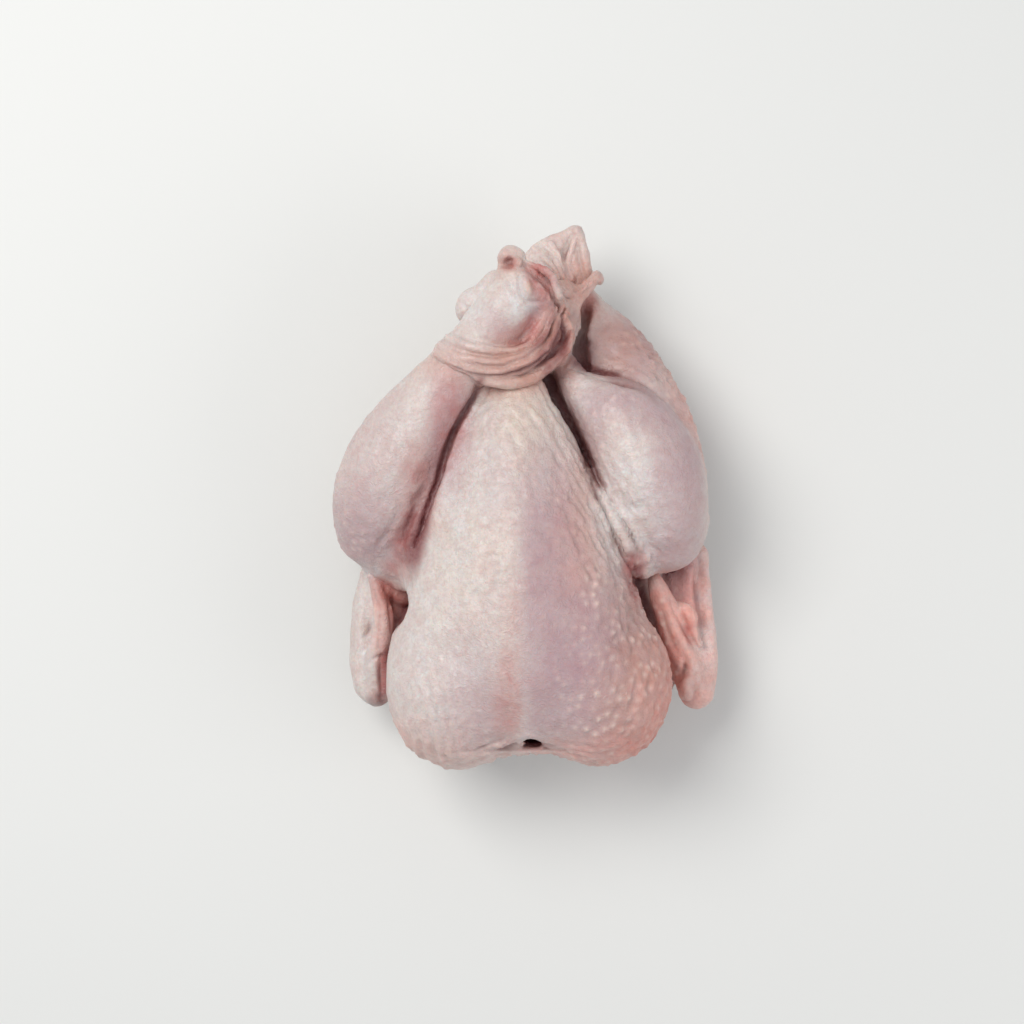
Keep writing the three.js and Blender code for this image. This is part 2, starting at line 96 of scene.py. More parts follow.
RIGHT_SHANK = [
    [20.5, 51, 58, 6], [12, 59.5, 60, 6.5], [-5.5, 65, 62, 9.5], [-16.5, 76.5, 61, 10], [-23.5, 81, 60, 8],
]
RIGHT_HOCK = [[-21.5, 83, 62, 7], [-13, 90.5, 68, 7]]
LEFT_DRUMSTICK = [
    [-68, -15.5, 50, 16], [-63.5, -2.5, 56, 22], [-57, 13.2, 60.2, 22.4], [-47, 30.5, 65.5, 19.3],
    [-35, 47, 70.5, 15.2], [-23.5, 61.5, 74, 12],
]
LEFT_SHANK = [
    [-36, 48, 70, 11.5], [-30, 55, 72.5, 13], [-21.5, 63, 76, 13], [-11, 78, 80, 12.5], [-4, 88.5, 81, 11],
]
LEFT_HOCK = [[-6.5, 90, 80, 8], [-7, 98, 81, 5.8], [-7, 100.5, 81, 5.6]]
BONE_RIM = ([-7, 99.5, 82.5], [6, 5.2, 5.5], 20)
BONE_HOLE = [[-11, 97.8, 88.6, 2.2], [-8, 98.8, 89.2, 2.6]]
BONE_PEARL = ([-4.8, 98.8, 88.5], [1.8, 2.4, 1.8], 10)

# Clefts, cut one below the other at these depths
GAP = [
    [6, 54.5, 3], [8.8, 49.4, 3.6], [12, 42, 3.3], [15.6, 35, 2.8], [20.2, 26.5, 2.3], [24.6, 18, 1.8],
    [28.3, 10.2, 1.3], [30.8, 4, 0.8],
]
GAP_DEPTHS = [0, 5, 10]
CREASE = [
    [-17.5, 53, 1.4], [-21, 46.5, 1.4], [-27, 36.4, 1.3], [-31.5, 28, 1.3], [-35.2, 18.5, 1.4],
    [-38, 7.5, 1.5], [-41.8, -3, 1.5], [-46, -15.5, 1.4], [-48.8, -23, 0.8],
]
CREASE_DEPTHS = [0.5, 3]

POCKETS = [
    [[27, 87, 50, 2.4], [24.5, 77, 48, 3.2], [22.5, 67.5, 50, 4.2], [23, 58.5, 54, 4.2]],
    [[47.5, -35.5, 80, 3], [48, -36, 62, 3.4], [50, -39, 44, 4], [55, -54, 34, 3.5]],
    [[52, -46, 76, 2], [53, -47, 60, 2.6], [54, -49, 40, 3]],
]
ARMPIT = ([-56, -50.5, 58], [4.4, 9, 24], -29)
NECK_WALL = ([1, -110, 51], [17, 1.9, 25], 0)
NECK_HOLE = ([1.5, -105.8, 72], [5.2, 2.4, 16], -8)
TAIL = [
    [[19.5, 85, 43, 6], [21.5, 98, 46, 6.2], [22, 110.5, 48, 4], [22, 116.5, 49, 2]],
    [[6.5, 93, 46, 13], [8.5, 103, 46, 9.5], [13.5, 110, 47, 5], [19.5, 115, 48, 2.5]],
]
TAIL_FOLDS = [
    [[22, 116, 1.6], [24.5, 109, 2], [26, 100, 2.2], [27, 92, 2.4]],
    [[21.5, 116, 1.4], [19, 109, 1.8], [17, 102, 2], [19, 95, 2]],
    [[10, 110, 1.6], [13, 105, 1.8], [15.5, 98, 1.8], [17, 92, 1.6]],
    [[3, 108, 1.4], [8, 103, 1.6], [12, 97, 1.6], [14, 91, 1.4]],
]
STRAP = [
    [-28.5, 58.5, 75, 11], [-18.5, 57.5, 77, 10], [-7.5, 57, 77, 9.5], [3, 60.5, 74, 9],
    [10.5, 68.5, 70, 8.5], [14, 78, 64, 8], [15.5, 86.5, 56, 8],
]
STRAP_ROOT = [[2, 69, 75, 7], [6, 77, 74, 8], [9, 86, 68, 7]]

# How far a fold sinks into the skin, as a share of its radius
FOLD_SINK = 0.1
STRAP_FOLDS = [
    [[-25, 53.5, 2.6], [-17.5, 49.5, 3], [-7.5, 48.5, 3.2], [2, 51, 3], [9, 56.5, 2.8], [15, 62, 2.4],
     [18.5, 68, 2.2]],
    [[-38.5, 60.5, 2.5], [-30, 55.5, 3], [-20.5, 53, 3.2], [-10, 52.5, 3.4], [0.5, 57, 3.4], [8.5, 64, 3],
     [16, 78, 2.2]],
    [[-37.5, 63.5, 2.2], [-29, 59, 2.6], [-19.5, 57, 2.8], [-10, 56.5, 2.8], [0, 60.5, 2.8], [7, 67.5, 2.8],
     [13.5, 81, 2.2]],
    [[-34, 67, 1.8], [-28, 64, 2.2], [-20.5, 61.5, 2.4], [-12, 60, 2.4], [-3.5, 61.5, 2.4], [3, 66, 2.4],
     [10.5, 79.5, 2]],
]
STRAP_ROPE = [
    [13, 73, 67, 3], [17.5, 80, 65, 3.2], [23, 87.5, 60, 3], [27.5, 92.5, 56, 2.8], [30, 95.5, 53, 2.6],
]
ROPE_NUB = ([31, 95.5, 53], [2.6, 3.4, 3], 30)
RAW_RIM = [[-1.5, 99, 86, 1], [5, 96, 87, 1.3], [10.5, 91.5, 86, 1.4], [13, 84, 84, 1.2]]
RAW_HOLLOW = [[0.5, 96, 93.2, 2], [5, 92, 92.4, 2.3], [9, 86, 90.4, 2]]
HOCK_PEARL = ([0, 87.5, 88.5], [2, 3.2, 2], -20)
BREAST_FOLDS = [
    [[3.5, 46, 0.8], [11.5, 31, 1.1], [21, 14.5, 1.3], [28, 0, 1.3], [38, -22, 1.2], [47, -46, 1]],
    [[23, 4, 0.8], [34, -14, 1.1], [43, -36, 1]],
    [[32.5, 1, 1], [38.5, -12, 1.2], [44.5, -25, 1.2], [50, -37, 1]],
    [[35, 2, 0.9], [43, -11, 1.2], [49, -23, 1.2], [53.5, -31, 1]],
]
NECK_LIP = [
    [-18, -109, 0.8], [-9, -105.5, 1], [-2, -102.5, 1.2], [5, -103.5, 1.1], [12, -107, 1], [19, -110, 0.8],
]
RIGHT_WING = {
    "upper": [[42.5, -92, 34, 16], [58, -72.5, 26, 13], [71.5, -30, 24, 10]],
    "fore": [[76.5, -27, 27, 5], [77.5, -38.5, 28, 4.6], [79, -52, 30, 4.8], [79.5, -65, 32, 5.5],
             [79, -76.5, 33, 6.5], [77, -88, 34, 6.8]],
    "hand": [[75.3, -88.8, 35, 6.9], [70.8, -75, 38, 7], [64.5, -58, 42, 6.5], [59, -44.5, 46, 4.8],
             [56.5, -38, 48, 3.4]],
    "web": [[72, -34, 33, 4], [73, -48, 32, 4.5], [74.5, -60, 34, 4.5], [76, -69, 36, 4.5],
            [75, -78, 36, 5]],
    "thumb": [[67.5, -50, 43, 2.6], [70.5, -51.3, 45, 3], [72.8, -54.5, 45, 2.8], [73, -58.5, 43.5, 2],
              [75, -63, 42.5, 1.6], [77.5, -67, 41.5, 1.3]],
}
LEFT_WING = {
    "upper": [[-43.5, -91, 34, 16], [-57.5, -70, 26, 13], [-63, -36, 24, 11]],
    "fore": [[-68, -38.5, 24, 8], [-71, -52, 25, 8], [-72.5, -70, 27, 7.5], [-71, -83.5, 30, 7.5],
             [-68, -89, 31, 6]],
    "hand": [[-67, -87.5, 34, 6], [-67.5, -73.5, 38, 5], [-64.8, -63, 42, 4.4], [-63.8, -54, 45, 4.4],
             [-65.8, -45, 46.5, 3.2], [-69, -36.5, 48, 1.4]],
    "ear": [[-69.5, -36, 47.5, 1.6], [-63.5, -38.5, 45.5, 2], [-57.5, -41, 42.5, 2.2],
            [-53.5, -45, 38, 2.2]],
    "bowl": [[-66, -40, 43.4, 4], [-61, -42.4, 40.8, 4.4], [-56, -45, 37, 4.6]],
    "floor": [[-63.5, -46, 37, 4], [-60, -52, 32, 4.6], [-59, -60, 28, 5]],
}
SHOULDER_WEBS = [
    [[-67, -33.5, 42, 3.6], [-59, -35.5, 44.5, 4.2], [-52, -38.5, 47, 4.2], [-48, -43, 50, 4]],
    [[36, -6, 67, 4.5], [39, -10, 69, 5], [44, -19, 66, 6], [50, -30, 58, 6]],
    [[50, -28, 30, 9], [52, -45, 28, 9], [56, -62, 27, 9]],
]
NECK_SKIN = [
    [-45.5, -104, 40, 7], [-32.5, -110.5, 38, 8], [-19, -110.5, 36, 8], [1.5, -105.5, 32, 8],
    [21.5, -108, 34, 7], [37, -104.5, 38, 6],
]
NECK_CLEFT = [[1, -109.5, 74, 5], [1, -113, 64, 5]]
NECK_NUB = [
    [-10, -111, 66, 2], [-5.5, -109, 72, 2.7], [-1, -109.2, 73, 2.2], [3, -109.6, 72, 1.8],
    [8, -110.5, 70, 1.4],
]

# How softly forms run into each other
MUSCLE_BLEND = 9
KEEL_BLEND = 16
TAIL_BLEND = 5
WING_BLEND = 2.5
CREASE_BLEND = 3
CLEFT_BLEND = 1.6
FOLD_BLEND = 1
# The parts of a wing, in the order they are joined
WING_BLENDS = {
    "upper": TAIL_BLEND, "fore": WING_BLEND, "hand": WING_BLEND, "bowl": WING_BLEND,
    "floor": WING_BLEND, "web": WING_BLEND, "ear": FOLD_BLEND, "thumb": FOLD_BLEND,
}

# ---- Ridges and grooves pressed into the skin that faces up ----

# Each is a width, then its stations [x, y, height]; a groove's height is negative
KNOT_LINES = [
    [1, [-35, 55, -0.5], [-25, 51, -2], [-12, 50, -2.4], [-1, 53, -2.4], [7.5, 59, -2.6], [13, 66.5, -2.2],
     [16.5, 76, -0.8]],
    [0.9, [-32.5, 61, -0.3], [-20.5, 59, -1], [-10, 59, -1.2], [-0.5, 62.5, -1.4], [6, 69, -1.6],
     [10.5, 78.5, -0.8]],
    [0.9, [-26.5, 56.5, -0.3], [-14, 54.5, -0.8], [-3.5, 57, -1], [5, 63, -1.3], [10.5, 70.5, -1.4],
     [14, 80, -0.6]],
    [1, [3.5, 54.5, -0.5], [11, 60.5, -2], [16, 67.5, -2], [18, 77, -0.8]],
    [1, [10.5, 52, -0.5], [17, 58, -1.6], [20.5, 66, -1.6], [20, 73, -0.5]],
    [0.8, [2, 57.5, -0.4], [8, 65, -1.6], [11.5, 73.5, -1.2], [12.5, 81, -0.4]],
    [1.8, [-33.5, 64.5, 0.2], [-22.5, 62.5, 0.8], [-12, 62, 0.9], [-2.5, 64.5, 0.9], [4.5, 71.5, 1],
     [8.5, 80, 0.5]],
    [2, [-35, 58.5, 0.3], [-21.5, 56.5, 1], [-10, 56.5, 1.1], [0, 60, 1.1], [7.5, 66.5, 1.1], [12, 76, 0.5]],
    [1.6, [-32.5, 54, 0.3], [-20.5, 52.5, 0.8], [-10, 52.5, 0.9], [0, 56, 0.9], [8.5, 62.5, 0.9],
     [14, 71.5, 0.4]],
    [2.4, [-22.5, 49, 0.5], [-12, 47, 1.2], [-1, 48, 1.2], [7.5, 52, 1.2], [15, 58, 1], [20, 64.5, 0.4]],
    [1.5, [-10.5, 103, 1.2], [-13, 99.5, 1], [-10.5, 95, 0.8], [-6, 95, 0.6], [-2.5, 98.5, 1],
     [-4, 103.5, 1.4], [-8.5, 104.5, 1.4], [-10.5, 103, 1.2]],
    [1.8, [-11.5, 98.2, -1.6], [-8, 99, -1.8]],
    [1.2, [-1.5, 98, -0.5], [2, 94, -1.1], [7.5, 89, -1.3], [10.5, 84, -0.6]],
    [1.3, [0, 102, 0.8], [6, 97.5, 1.4], [11.5, 91, 1.4], [13, 84, 0.8]],
    [1.7, [-1, 90, 1.6], [0, 86, 1.6]],
    [1, [-4, 92, -0.8], [-3.5, 87, -1.2], [-0.5, 82.5, -1.4], [4.5, 82, -1]],
    [1.4, [-8.5, 91.5, -0.5], [-7, 88, -0.7], [-3.5, 83.5, -0.5]],
    [1.6, [4.5, 89, 1], [7.5, 85.5, 1.2], [10.5, 82, 0.8]],
    [1.2, [-30, 84, -0.5], [-26.5, 80.5, -1], [-28.5, 76.5, -0.4]],
    [1.2, [-20.5, 66.5, -0.3], [-14, 63.5, -0.8], [-6.5, 63.5, -1], [2, 67, -1], [7.5, 75.5, -0.6]],
    [1, [16.5, 84.5, -0.5], [21.5, 89.5, -1], [26.5, 93.5, -1], [30, 97, -0.5]],
    [1.2, [20.5, 83.5, -0.5], [25.5, 88.5, -1.4], [30, 93, -0.6]],
    [0.9, [9.5, 86, -0.4], [13.5, 80.5, -1.4], [18.5, 77, -1], [20.5, 73, -0.3]],
    [0.9, [11.5, 91, -0.4], [16, 87, -1.2], [20, 86, -0.4]],
    [1.2, [10.5, 89.5, 0.3], [15, 84, 0.9], [20, 81.5, 0.4]],
    [1.4, [14, 84, 0.3], [17, 77.5, 1.2], [18.5, 69.5, 1.3], [17, 61, 0.5]],
    [0.9, [12.5, 83, -0.4], [15, 77, -1.6], [16.4, 69.5, -1.6], [14.5, 61, -0.5]],
]
TAIL_LINES = [
    [1.1, [20.5, 116.5, -0.6], [18, 110.5, -1.6], [16.5, 105, -1.8], [19, 97, -1.2]],
    [1, [8, 108.5, -0.4], [13.5, 104, -1.2], [17, 97, -1.2]],
    [1, [2.5, 104, -0.4], [10, 98.5, -1.2], [16, 90.5, -1.2]],
    [2, [22.5, 116.5, 0.6], [24.5, 108.5, 1], [26, 100.5, 1.2], [27.5, 94, 0.8]],
    [1.8, [0.5, 111, 0.4], [8.5, 112.5, 0.8], [15.5, 114.5, 0.9], [20.5, 117, 0.6]],
    [1.4, [21, 112.5, 0.4], [20, 106, 0.8], [22, 98.5, 0.6]],
    [0.8, [23.5, 112.5, -0.3], [22.5, 105, -0.8], [24.5, 97, -0.6]],
]
RIGHT_WING_LINES = [
    [1.2, [68.5, -54.5, -0.5], [70.3, -59.5, -1.5], [73, -65, -1.4], [76, -70.5, -0.5]],
    [1.8, [57, -38, 0.5], [61, -48.5, 0.9], [66, -61, 0.9], [72.5, -72.5, 0.5]],
    [1, [61, -42.5, -0.3], [65, -50.5, -1], [69, -59.5, -0.9], [72.5, -67, -0.3]],
    [1.2, [58.5, -49, -0.3], [62.5, -61, -1], [66.5, -71.5, -0.8]],
    [1.8, [69.5, -73.5, -0.8], [70, -77.5, -2.8], [67.5, -81.5, -1.5]],
    [2.2, [71.5, -81, 0.8], [70.5, -85.5, 1.6], [73, -91, 0.8]],
    [1.4, [73.5, -83, -0.3], [75.5, -87.5, -1], [73.5, -91.5, -0.4]],
    [2.2, [77, -29.5, -1], [76.5, -40.5, -2], [77.5, -52, -2], [79, -65.5, -1.4], [79.5, -72, -0.4]],
    [2.4, [79, -27, 0.5], [80.5, -43, 1], [82, -61, 1], [83, -74.5, 0.6]],
    [1, [77.5, -74, -0.3], [81, -78, -0.8], [83, -75, -0.3]],
]
LEFT_WING_LINES = [
    [0.9, [-70.5, -57, -0.6], [-71, -60.5, -1.8], [-72.5, -64, -0.6]],
    [1.1, [-70, -37, -0.4], [-67, -47, -1], [-65.5, -56.5, -1.2], [-66, -68, -0.8]],
    [1.2, [-71.5, -75.5, -0.3], [-67.5, -72.5, -1], [-64, -72, -1.6]],
    [1.2, [-65, -74, -1], [-65, -83, -2], [-65, -93, -1]],
    [1.6, [-74, -47, 0.4], [-75, -58.5, 0.8], [-74.5, -69.5, 0.4]],
    [1.4, [-69.5, -87.5, -0.3], [-66.5, -90, -1], [-64, -92, -0.8]],
    [1, [-60, -42.5, -0.4], [-60.5, -50.5, -1.4], [-60, -60, -0.6]],
    [1.4, [-77, -74, 0.3], [-75.5, -83, 0.7], [-71.5, -90.5, 0.4]],
]
BODY_LINES = [
    [1.2, [12, 36, 0.4], [18.5, 25, 0.9], [25.5, 12, 1.1], [34, -5, 1.1], [42, -22, 1], [49, -43, 0.4]],
    [1, [16.5, 25, -0.3], [23, 13, -0.8], [31.5, -4.5, -0.9], [39.5, -22, -0.8], [45.5, -40, -0.3]],
    [1.2, [10.5, 29.5, 0.2], [19, 13.5, 0.6], [28.5, -5, 0.7], [36, -23, 0.5], [42, -41, 0.2]],
    [1.1, [29.5, 2.5, 0.3], [36, -7.5, 1], [43, -19.5, 1.1], [48, -31, 0.6]],
    [0.9, [33.5, 1, -0.3], [39.5, -8.5, -1.2], [45.5, -19.5, -1.2], [50, -29, -0.5]],
    [1.1, [36, -1, 0.3], [42.5, -10.5, 0.8], [48.5, -19.5, 0.8], [52.5, -28.5, 0.3]],
    [1, [33, -1.5, 0.2], [41, -3, 0.5], [50.5, -0.5, 0.4], [57, 4.5, 0.2]],
    [0.9, [34, 2, 0.2], [41, 3, 0.4], [49, 7.5, 0.2]],
    [1, [35, -7.5, 0.2], [44, -10.5, 0.5], [52.5, -9, 0.3]],
    [0.9, [34, -4.5, -0.2], [42, -6.5, -0.5], [51.5, -5, -0.3]],
    [0.8, [-12, -32.5, -0.2], [-5, -34.5, -0.6], [3, -35.5, -0.6], [13.5, -35.5, -0.2]],
    [1, [-9.5, -36, 0.2], [1, -38, 0.4], [12, -38, 0.2]],
    [0.8, [-31, -35, -0.1], [-20.5, -36, -0.4], [-10, -38.5, -0.3], [1, -38.5, -0.1]],
    [0.8, [-33, -41, -0.1], [-20.5, -42.5, -0.4], [-7, -44, -0.3]],
    [0.8, [-37.5, -28, -0.1], [-24.5, -29, -0.3], [-12, -30.5, -0.3], [-3.5, -31.5, -0.1]],
    [0.8, [-13, 42, -0.2], [-5, 32.5, -0.5], [2.5, 21, -0.5], [8.5, 10.5, -0.2]],
    [0.8, [-8.5, 43.5, -0.2], [1, 33.5, -0.5], [9.5, 20.5, -0.4], [16.5, 6, -0.2]],
    [0.8, [-16, 39.5, -0.2], [-10, 30, -0.4], [-3.5, 19, -0.4]],
    [0.9, [-3.5, 42, 0.2], [5, 31.5, 0.5], [12, 19.5, 0.4]],
    [1.2, [-56, -11, -0.3], [-59.5, -15.5, -0.9], [-64, -21, -0.9], [-66.5, -24, -0.3]],
    [1.4, [-45, -4.5, 0.3], [-47.5, -11, 0.9], [-51, -20, 0.8], [-54, -26.5, 0.3]],
    [1.2, [-48.5, -4.5, -0.3], [-51, -11, -1], [-54.5, -20, -0.9]],
    [1.3, [-5, -66.5, 0.2], [-4, -75, 0.5], [-5, -83.5, 0.5], [-7.5, -92, 0.2]],
    [1.6, [-9, -88, -0.2], [-9.5, -94, -0.7], [-8.5, -99.5, -0.3]],
    [1, [-21, -108, -0.3], [-14, -109.5, -1], [-8.5, -108.5, -1.4], [-5, -106.5, -0.6]],
    [1, [7.5, -109.5, -1], [13.5, -113, -1], [19.5, -115, -0.4]],
    [1, [-36, -113, 0.3], [-26, -113, 0.9], [-16.5, -110, 1.1], [-8.5, -106.5, 0.6]],
    [0.8, [-33, -110, -0.3], [-24, -109.5, -0.8], [-15, -106.5, -0.8], [-9, -103.5, -0.3]],
    [1.1, [14, 77, 0.3], [25, 71.5, 0.7], [34, 64, 0.7]],
    [2.4, [17, 58, -1.5], [30, 53.5, -3], [42, 49.5, -3], [53, 45, -1.4], [60, 38, -0.4]],
]

# Lines of shade in the clefts: a width, then stations [x, y, strength]
SHADE_LINES = [
    [2.4, [7, 55, 0.5], [9, 49.4, 0.45], [12.5, 42, 0.35], [16, 35, 0.3], [20.5, 26.5, 0.3], [24.8, 18, 0.3],
     [28.5, 10.2, 0.35], [31, 3.4, 0.45], [33, -2, 0.2]],
    [4, [13, 50, 0.6], [17, 42, 0.55], [21.5, 34, 0.5], [26, 24, 0.4], [30, 15, 0.3], [32, 8, 0.2]],
    [1.6, [-20, 49, 0.5], [-27, 36.4, 0.5], [-35.2, 18.5, 0.5], [-38.2, 7.5, 0.6], [-42, -3, 0.6],
     [-46, -15.5, 0.7], [-48.8, -23, 0.6]],
    [6, [-24, 48, 0.3], [-34, 33, 0.4], [-41, 18, 0.4], [-46, 2, 0.45], [-50, -14, 0.6], [-53, -26, 0.65]],
    [4, [-39, 12, 0.2], [-42.5, -4, 0.35], [-45.5, -18, 0.55], [-48, -29, 0.5], [-50, -38, 0.35]],
    [3.2, [21, 57.5, 0.8], [30, 54, 0.75], [40, 50.5, 0.65], [50, 46.5, 0.5], [58, 40.5, 0.25]],
    [2, [-61.5, -64, 0.3], [-63, -76, 0.6], [-63.4, -88, 0.6]],
    [1.7, [-12, 51, 0.2], [-1, 53.5, 0.5], [6, 59, 0.75], [11.5, 66, 0.75], [14, 74, 0.5]],
    [1.5, [-6, 58, 0.15], [1, 61, 0.45], [6.5, 67, 0.7], [10, 75, 0.6], [11.5, 83, 0.4]],
    [1.4, [9.5, 54.5, 0.3], [15.5, 61.5, 0.65], [18.5, 70, 0.5]],
    [2, [47, -27, 0.3], [49, -36, 0.7], [53, -47, 0.8], [57.5, -57, 0.6], [62.5, -68, 0.5],
     [66.5, -78, 0.6]],
]

# ---- Sampling: boxes and grid steps, in millimetres ----

BODY_BOX = ([-92, -126, -8], [92, 116, 112])
BODY_STEP = 1.25
KNOT_BOX = ([-52, 28, 24], [44, 112, 104])
KNOT_STEP = 0.65
TAIL_BOX = ([-14, 70, 20], [46, 126, 66])
TAIL_STEP = 0.65
WING_BOXES = {
    "right": ([22, -116, -4], [94, -10, 64]),
    "left": ([-94, -116, -4], [-22, -10, 64]),
}
WING_STEP = 0.8
# Steps between two stations of a limb and of a line in the skin
CURVE_STEPS = 6
LINE_STEPS = 4
# The corners of a cell, with x changing first
CORNERS = [(n & 1, n >> 1 & 1, n >> 2) for n in range(8)]
# Limits of the distance field, and of the points that settle on its zero surface
TINY = 1e-6
FAR = 1000
JOIN_MARGIN = 3
SLOPE_REACH = 0.8
SETTLE_ROUNDS = 3
FLATTEST_SLOPE = 0.05
LONGEST_STEP = 0.6

# ---- Relief of the skin: sizes and heights in millimetres ----

FOLLICLE_SPACING = 3.9
FOLLICLE_RADIUS = 1.25
BODY_BUMPS = 0.5
ROUGH_WRINKLES = 0.4
# The size and the height of each kind of lump
LUMPS = [(16, 0.38), (7, 0.28), (3.6, 0.14)]
# Ribs of skin left of the neck: middle, half sizes; their direction, wave length, waver and height
RIB_PATCH = ([-37, -95, 60], [17, 24, 50])
RIBS = ([1, 0.25, 0], 4.6, 0.9)
RIB_HEIGHT = 0.7
# The strap's wrinkles run round the hock and start at this distance from it, further out at its right.
# Each kind has a wave length and a height.
HOCK_AXIS = [-10.5, 85]
STRAP_EDGE = (19, 25)
EDGE_SHIFT = 6
EDGE_SHIFT_WIDTH = 12
EDGE_WAVER = 3
FINE_WRINKLES = (2.1, 0.16)
BROAD_WRINKLES = (3.3, 0.12)
# The tail and the wings: lump size, wrinkle direction, wrinkle height, height of the follicles
LUMP_HEIGHT = 0.3
TAIL_RELIEF = (9, [0.3, 1, 0], 0.3, 0.2)
WING_RELIEF = (10, [-0.2, 1, 0], 0.25, 0.15)
WRINKLE_SIZE = 4
# Lines pressed into the skin waver by this much, over this size, and show where it faces up
LINE_WAVER = (0.45, 5)
FACING_UP = (0.05, 0.4)
GROUND_EASE = 6

# ---- Light, floor and camera: metres and watts ----

FLOOR_SIZE = 5
FLOOR_COLOR = (0.74, 0.74, 0.72, 1)
FLOOR_ROUGHNESS = 0.7
LIGHT_TARGET = (0, 0, 0.05)
# Area lights: place, size, watts, colour
LIGHTS = {
    "key": ((-0.55, 0.4, 1.15), 0.7, 11.4, (1.0, 0.985, 0.96)),
    "fill": ((0.9, -0.35, 0.6), 0.8, 3.0, (1.0, 0.98, 0.97)),
}
SKY_COLOR = (0.93, 0.96, 1.0, 1)
SKY_STRENGTH = 0.55
CAMERA_PLACE = (-0.0068, -0.0077, 1.1)
SENSOR_WIDTH = 36
LENS = 83.5


# ---- Curves ----

def smooth_line(stations, steps=CURVE_STEPS):
    """A Catmull-Rom curve through the stations, with every number eased alike."""
    knots = np.array(stations, float)
    knots = np.vstack([2 * knots[0] - knots[1], knots, 2 * knots[-1] - knots[-2]])
    line = []
    for span in range(1, len(knots) - 2):
        a, b, c, d = knots[span - 1:span + 3]
        for t in np.arange(steps) / steps:
            bend = 2 * a - 5 * b + 4 * c - d
            twist = 3 * b - a - 3 * c + d
            line.append(0.5 * (2 * b + (c - a) * t + bend * t ** 2 + twist * t ** 3))
    line.append(knots[-2])
    return np.array(line)


def monotone(xs, ys, at):
    """A cubic through the knots that never overshoots them."""
    width = np.diff(xs)
    slope = np.diff(ys) / width
    tangent = np.zeros_like(ys)
    tangent[0], tangent[-1] = slope[0], slope[-1]
    for i in range(1, len(xs) - 1):
        if slope[i - 1] * slope[i] > 0:
            one = 2 * width[i] + width[i - 1]
            two = width[i] + 2 * width[i - 1]
            tangent[i] = (one + two) / (one / slope[i - 1] + two / slope[i])
    i = np.clip(np.searchsorted(xs, at, side="right") - 1, 0, len(xs) - 2)
    t = (at - xs[i]) / width[i]
    s = 1 - t
    start = (1 + 2 * t) * s ** 2 * ys[i] + t * s ** 2 * width[i] * tangent[i]
    end = t ** 2 * (3 - 2 * t) * ys[i + 1] - t ** 2 * s * width[i] * tangent[i + 1]
    return start + end


# ---- Forms: each gives its box and the signed distance over arrays of x, y and z ----

def rod_distance(start, end, x, y, z):
    """Distance to a tapered round rod between two stations."""
    along = end[:3] - start[:3]
    dot = (x - start[0]) * along[0] + (y - start[1]) * along[1] + (z - start[2]) * along[2]
    t = np.clip(dot / (along @ along), 0, 1)
    dx = x - start[0] - t * along[0]
    dy = y - start[1] - t * along[1]
    dz = z - start[2] - t * along[2]
    return np.sqrt(dx * dx + dy * dy + dz * dz) - (start[3] + t * (end[3] - start[3]))


def limb(stations):
    """A chain of tapered round rods along a smooth line."""
    line = smooth_line(stations).astype(np.float32)

    def distance(x, y, z):
        nearest = None
        for start, end in zip(line[:-1], line[1:]):
            d = rod_distance(start, end, x, y, z)
            nearest = d if nearest is None else np.minimum(nearest, d)
        return nearest

    return (line[:, :3] - line[:, 3:]).min(0), (line[:, :3] + line[:, 3:]).max(0), distance


def egg(middle, half, turn):
    """An ellipsoid turned about Z."""
    cos, sin = math.cos(math.radians(turn)), math.sin(math.radians(turn))
    across = math.hypot(half[0] * cos, half[1] * sin)
    along = math.hypot(half[0] * sin, half[1] * cos)
    reach = np.array([across, along, half[2]])

    def distance(x, y, z):
        dx, dy, dz = x - middle[0], y - middle[1], z - middle[2]
        own = (cos * dx + sin * dy, cos * dy - sin * dx, dz)
        ratio = np.sqrt(sum((value / size) ** 2 for value, size in zip(own, half)))
        slope = np.sqrt(sum((value / size ** 2) ** 2 for value, size in zip(own, half)))
        return ratio * (ratio - 1) / np.maximum(slope, TINY)

    return np.array(middle) - reach, np.array(middle) + reach, distance


def loft(rows):
    """A body along Y. Squares of the half sizes are eased, which rounds its ends."""
    ys, middles, widths, lows, levels, highs = np.array(rows, float).T

    def distance(x, y, z):
        at = np.clip(y.ravel(), ys[0], ys[-1])
        middle, level = (monotone(ys, knots, at)[None, :, None] for knots in (middles, levels))
        squares = (widths ** 2, (highs - levels) ** 2, (levels - lows) ** 2)
        width, above, below = (np.sqrt(monotone(ys, knots, at))[None, :, None] for knots in squares)
        height = np.where(z > level, above, below)
        sides = np.abs((x - middle) / width) ** BODY_SQUARENESS
        reach = sides + np.abs((z - level) / height) ** BODY_SQUARENESS
        beyond = np.maximum(np.maximum(ys[0] - y, y - ys[-1]), 0)
        return (reach ** (1 / BODY_SQUARENESS) - 1) * np.minimum(width, height) + beyond

    low = np.array([(middles - widths).min(), ys[0], lows.min()])
    high = np.array([(middles + widths).max(), ys[-1], highs.max()])
    return low, high, distance


# ---- The field ----

def smooth_minimum(a, b, blend):
    h = np.clip(0.5 + 0.5 * (b - a) / blend, 0, 1)
    return b + (a - b) * h - blend * h * (1 - h)


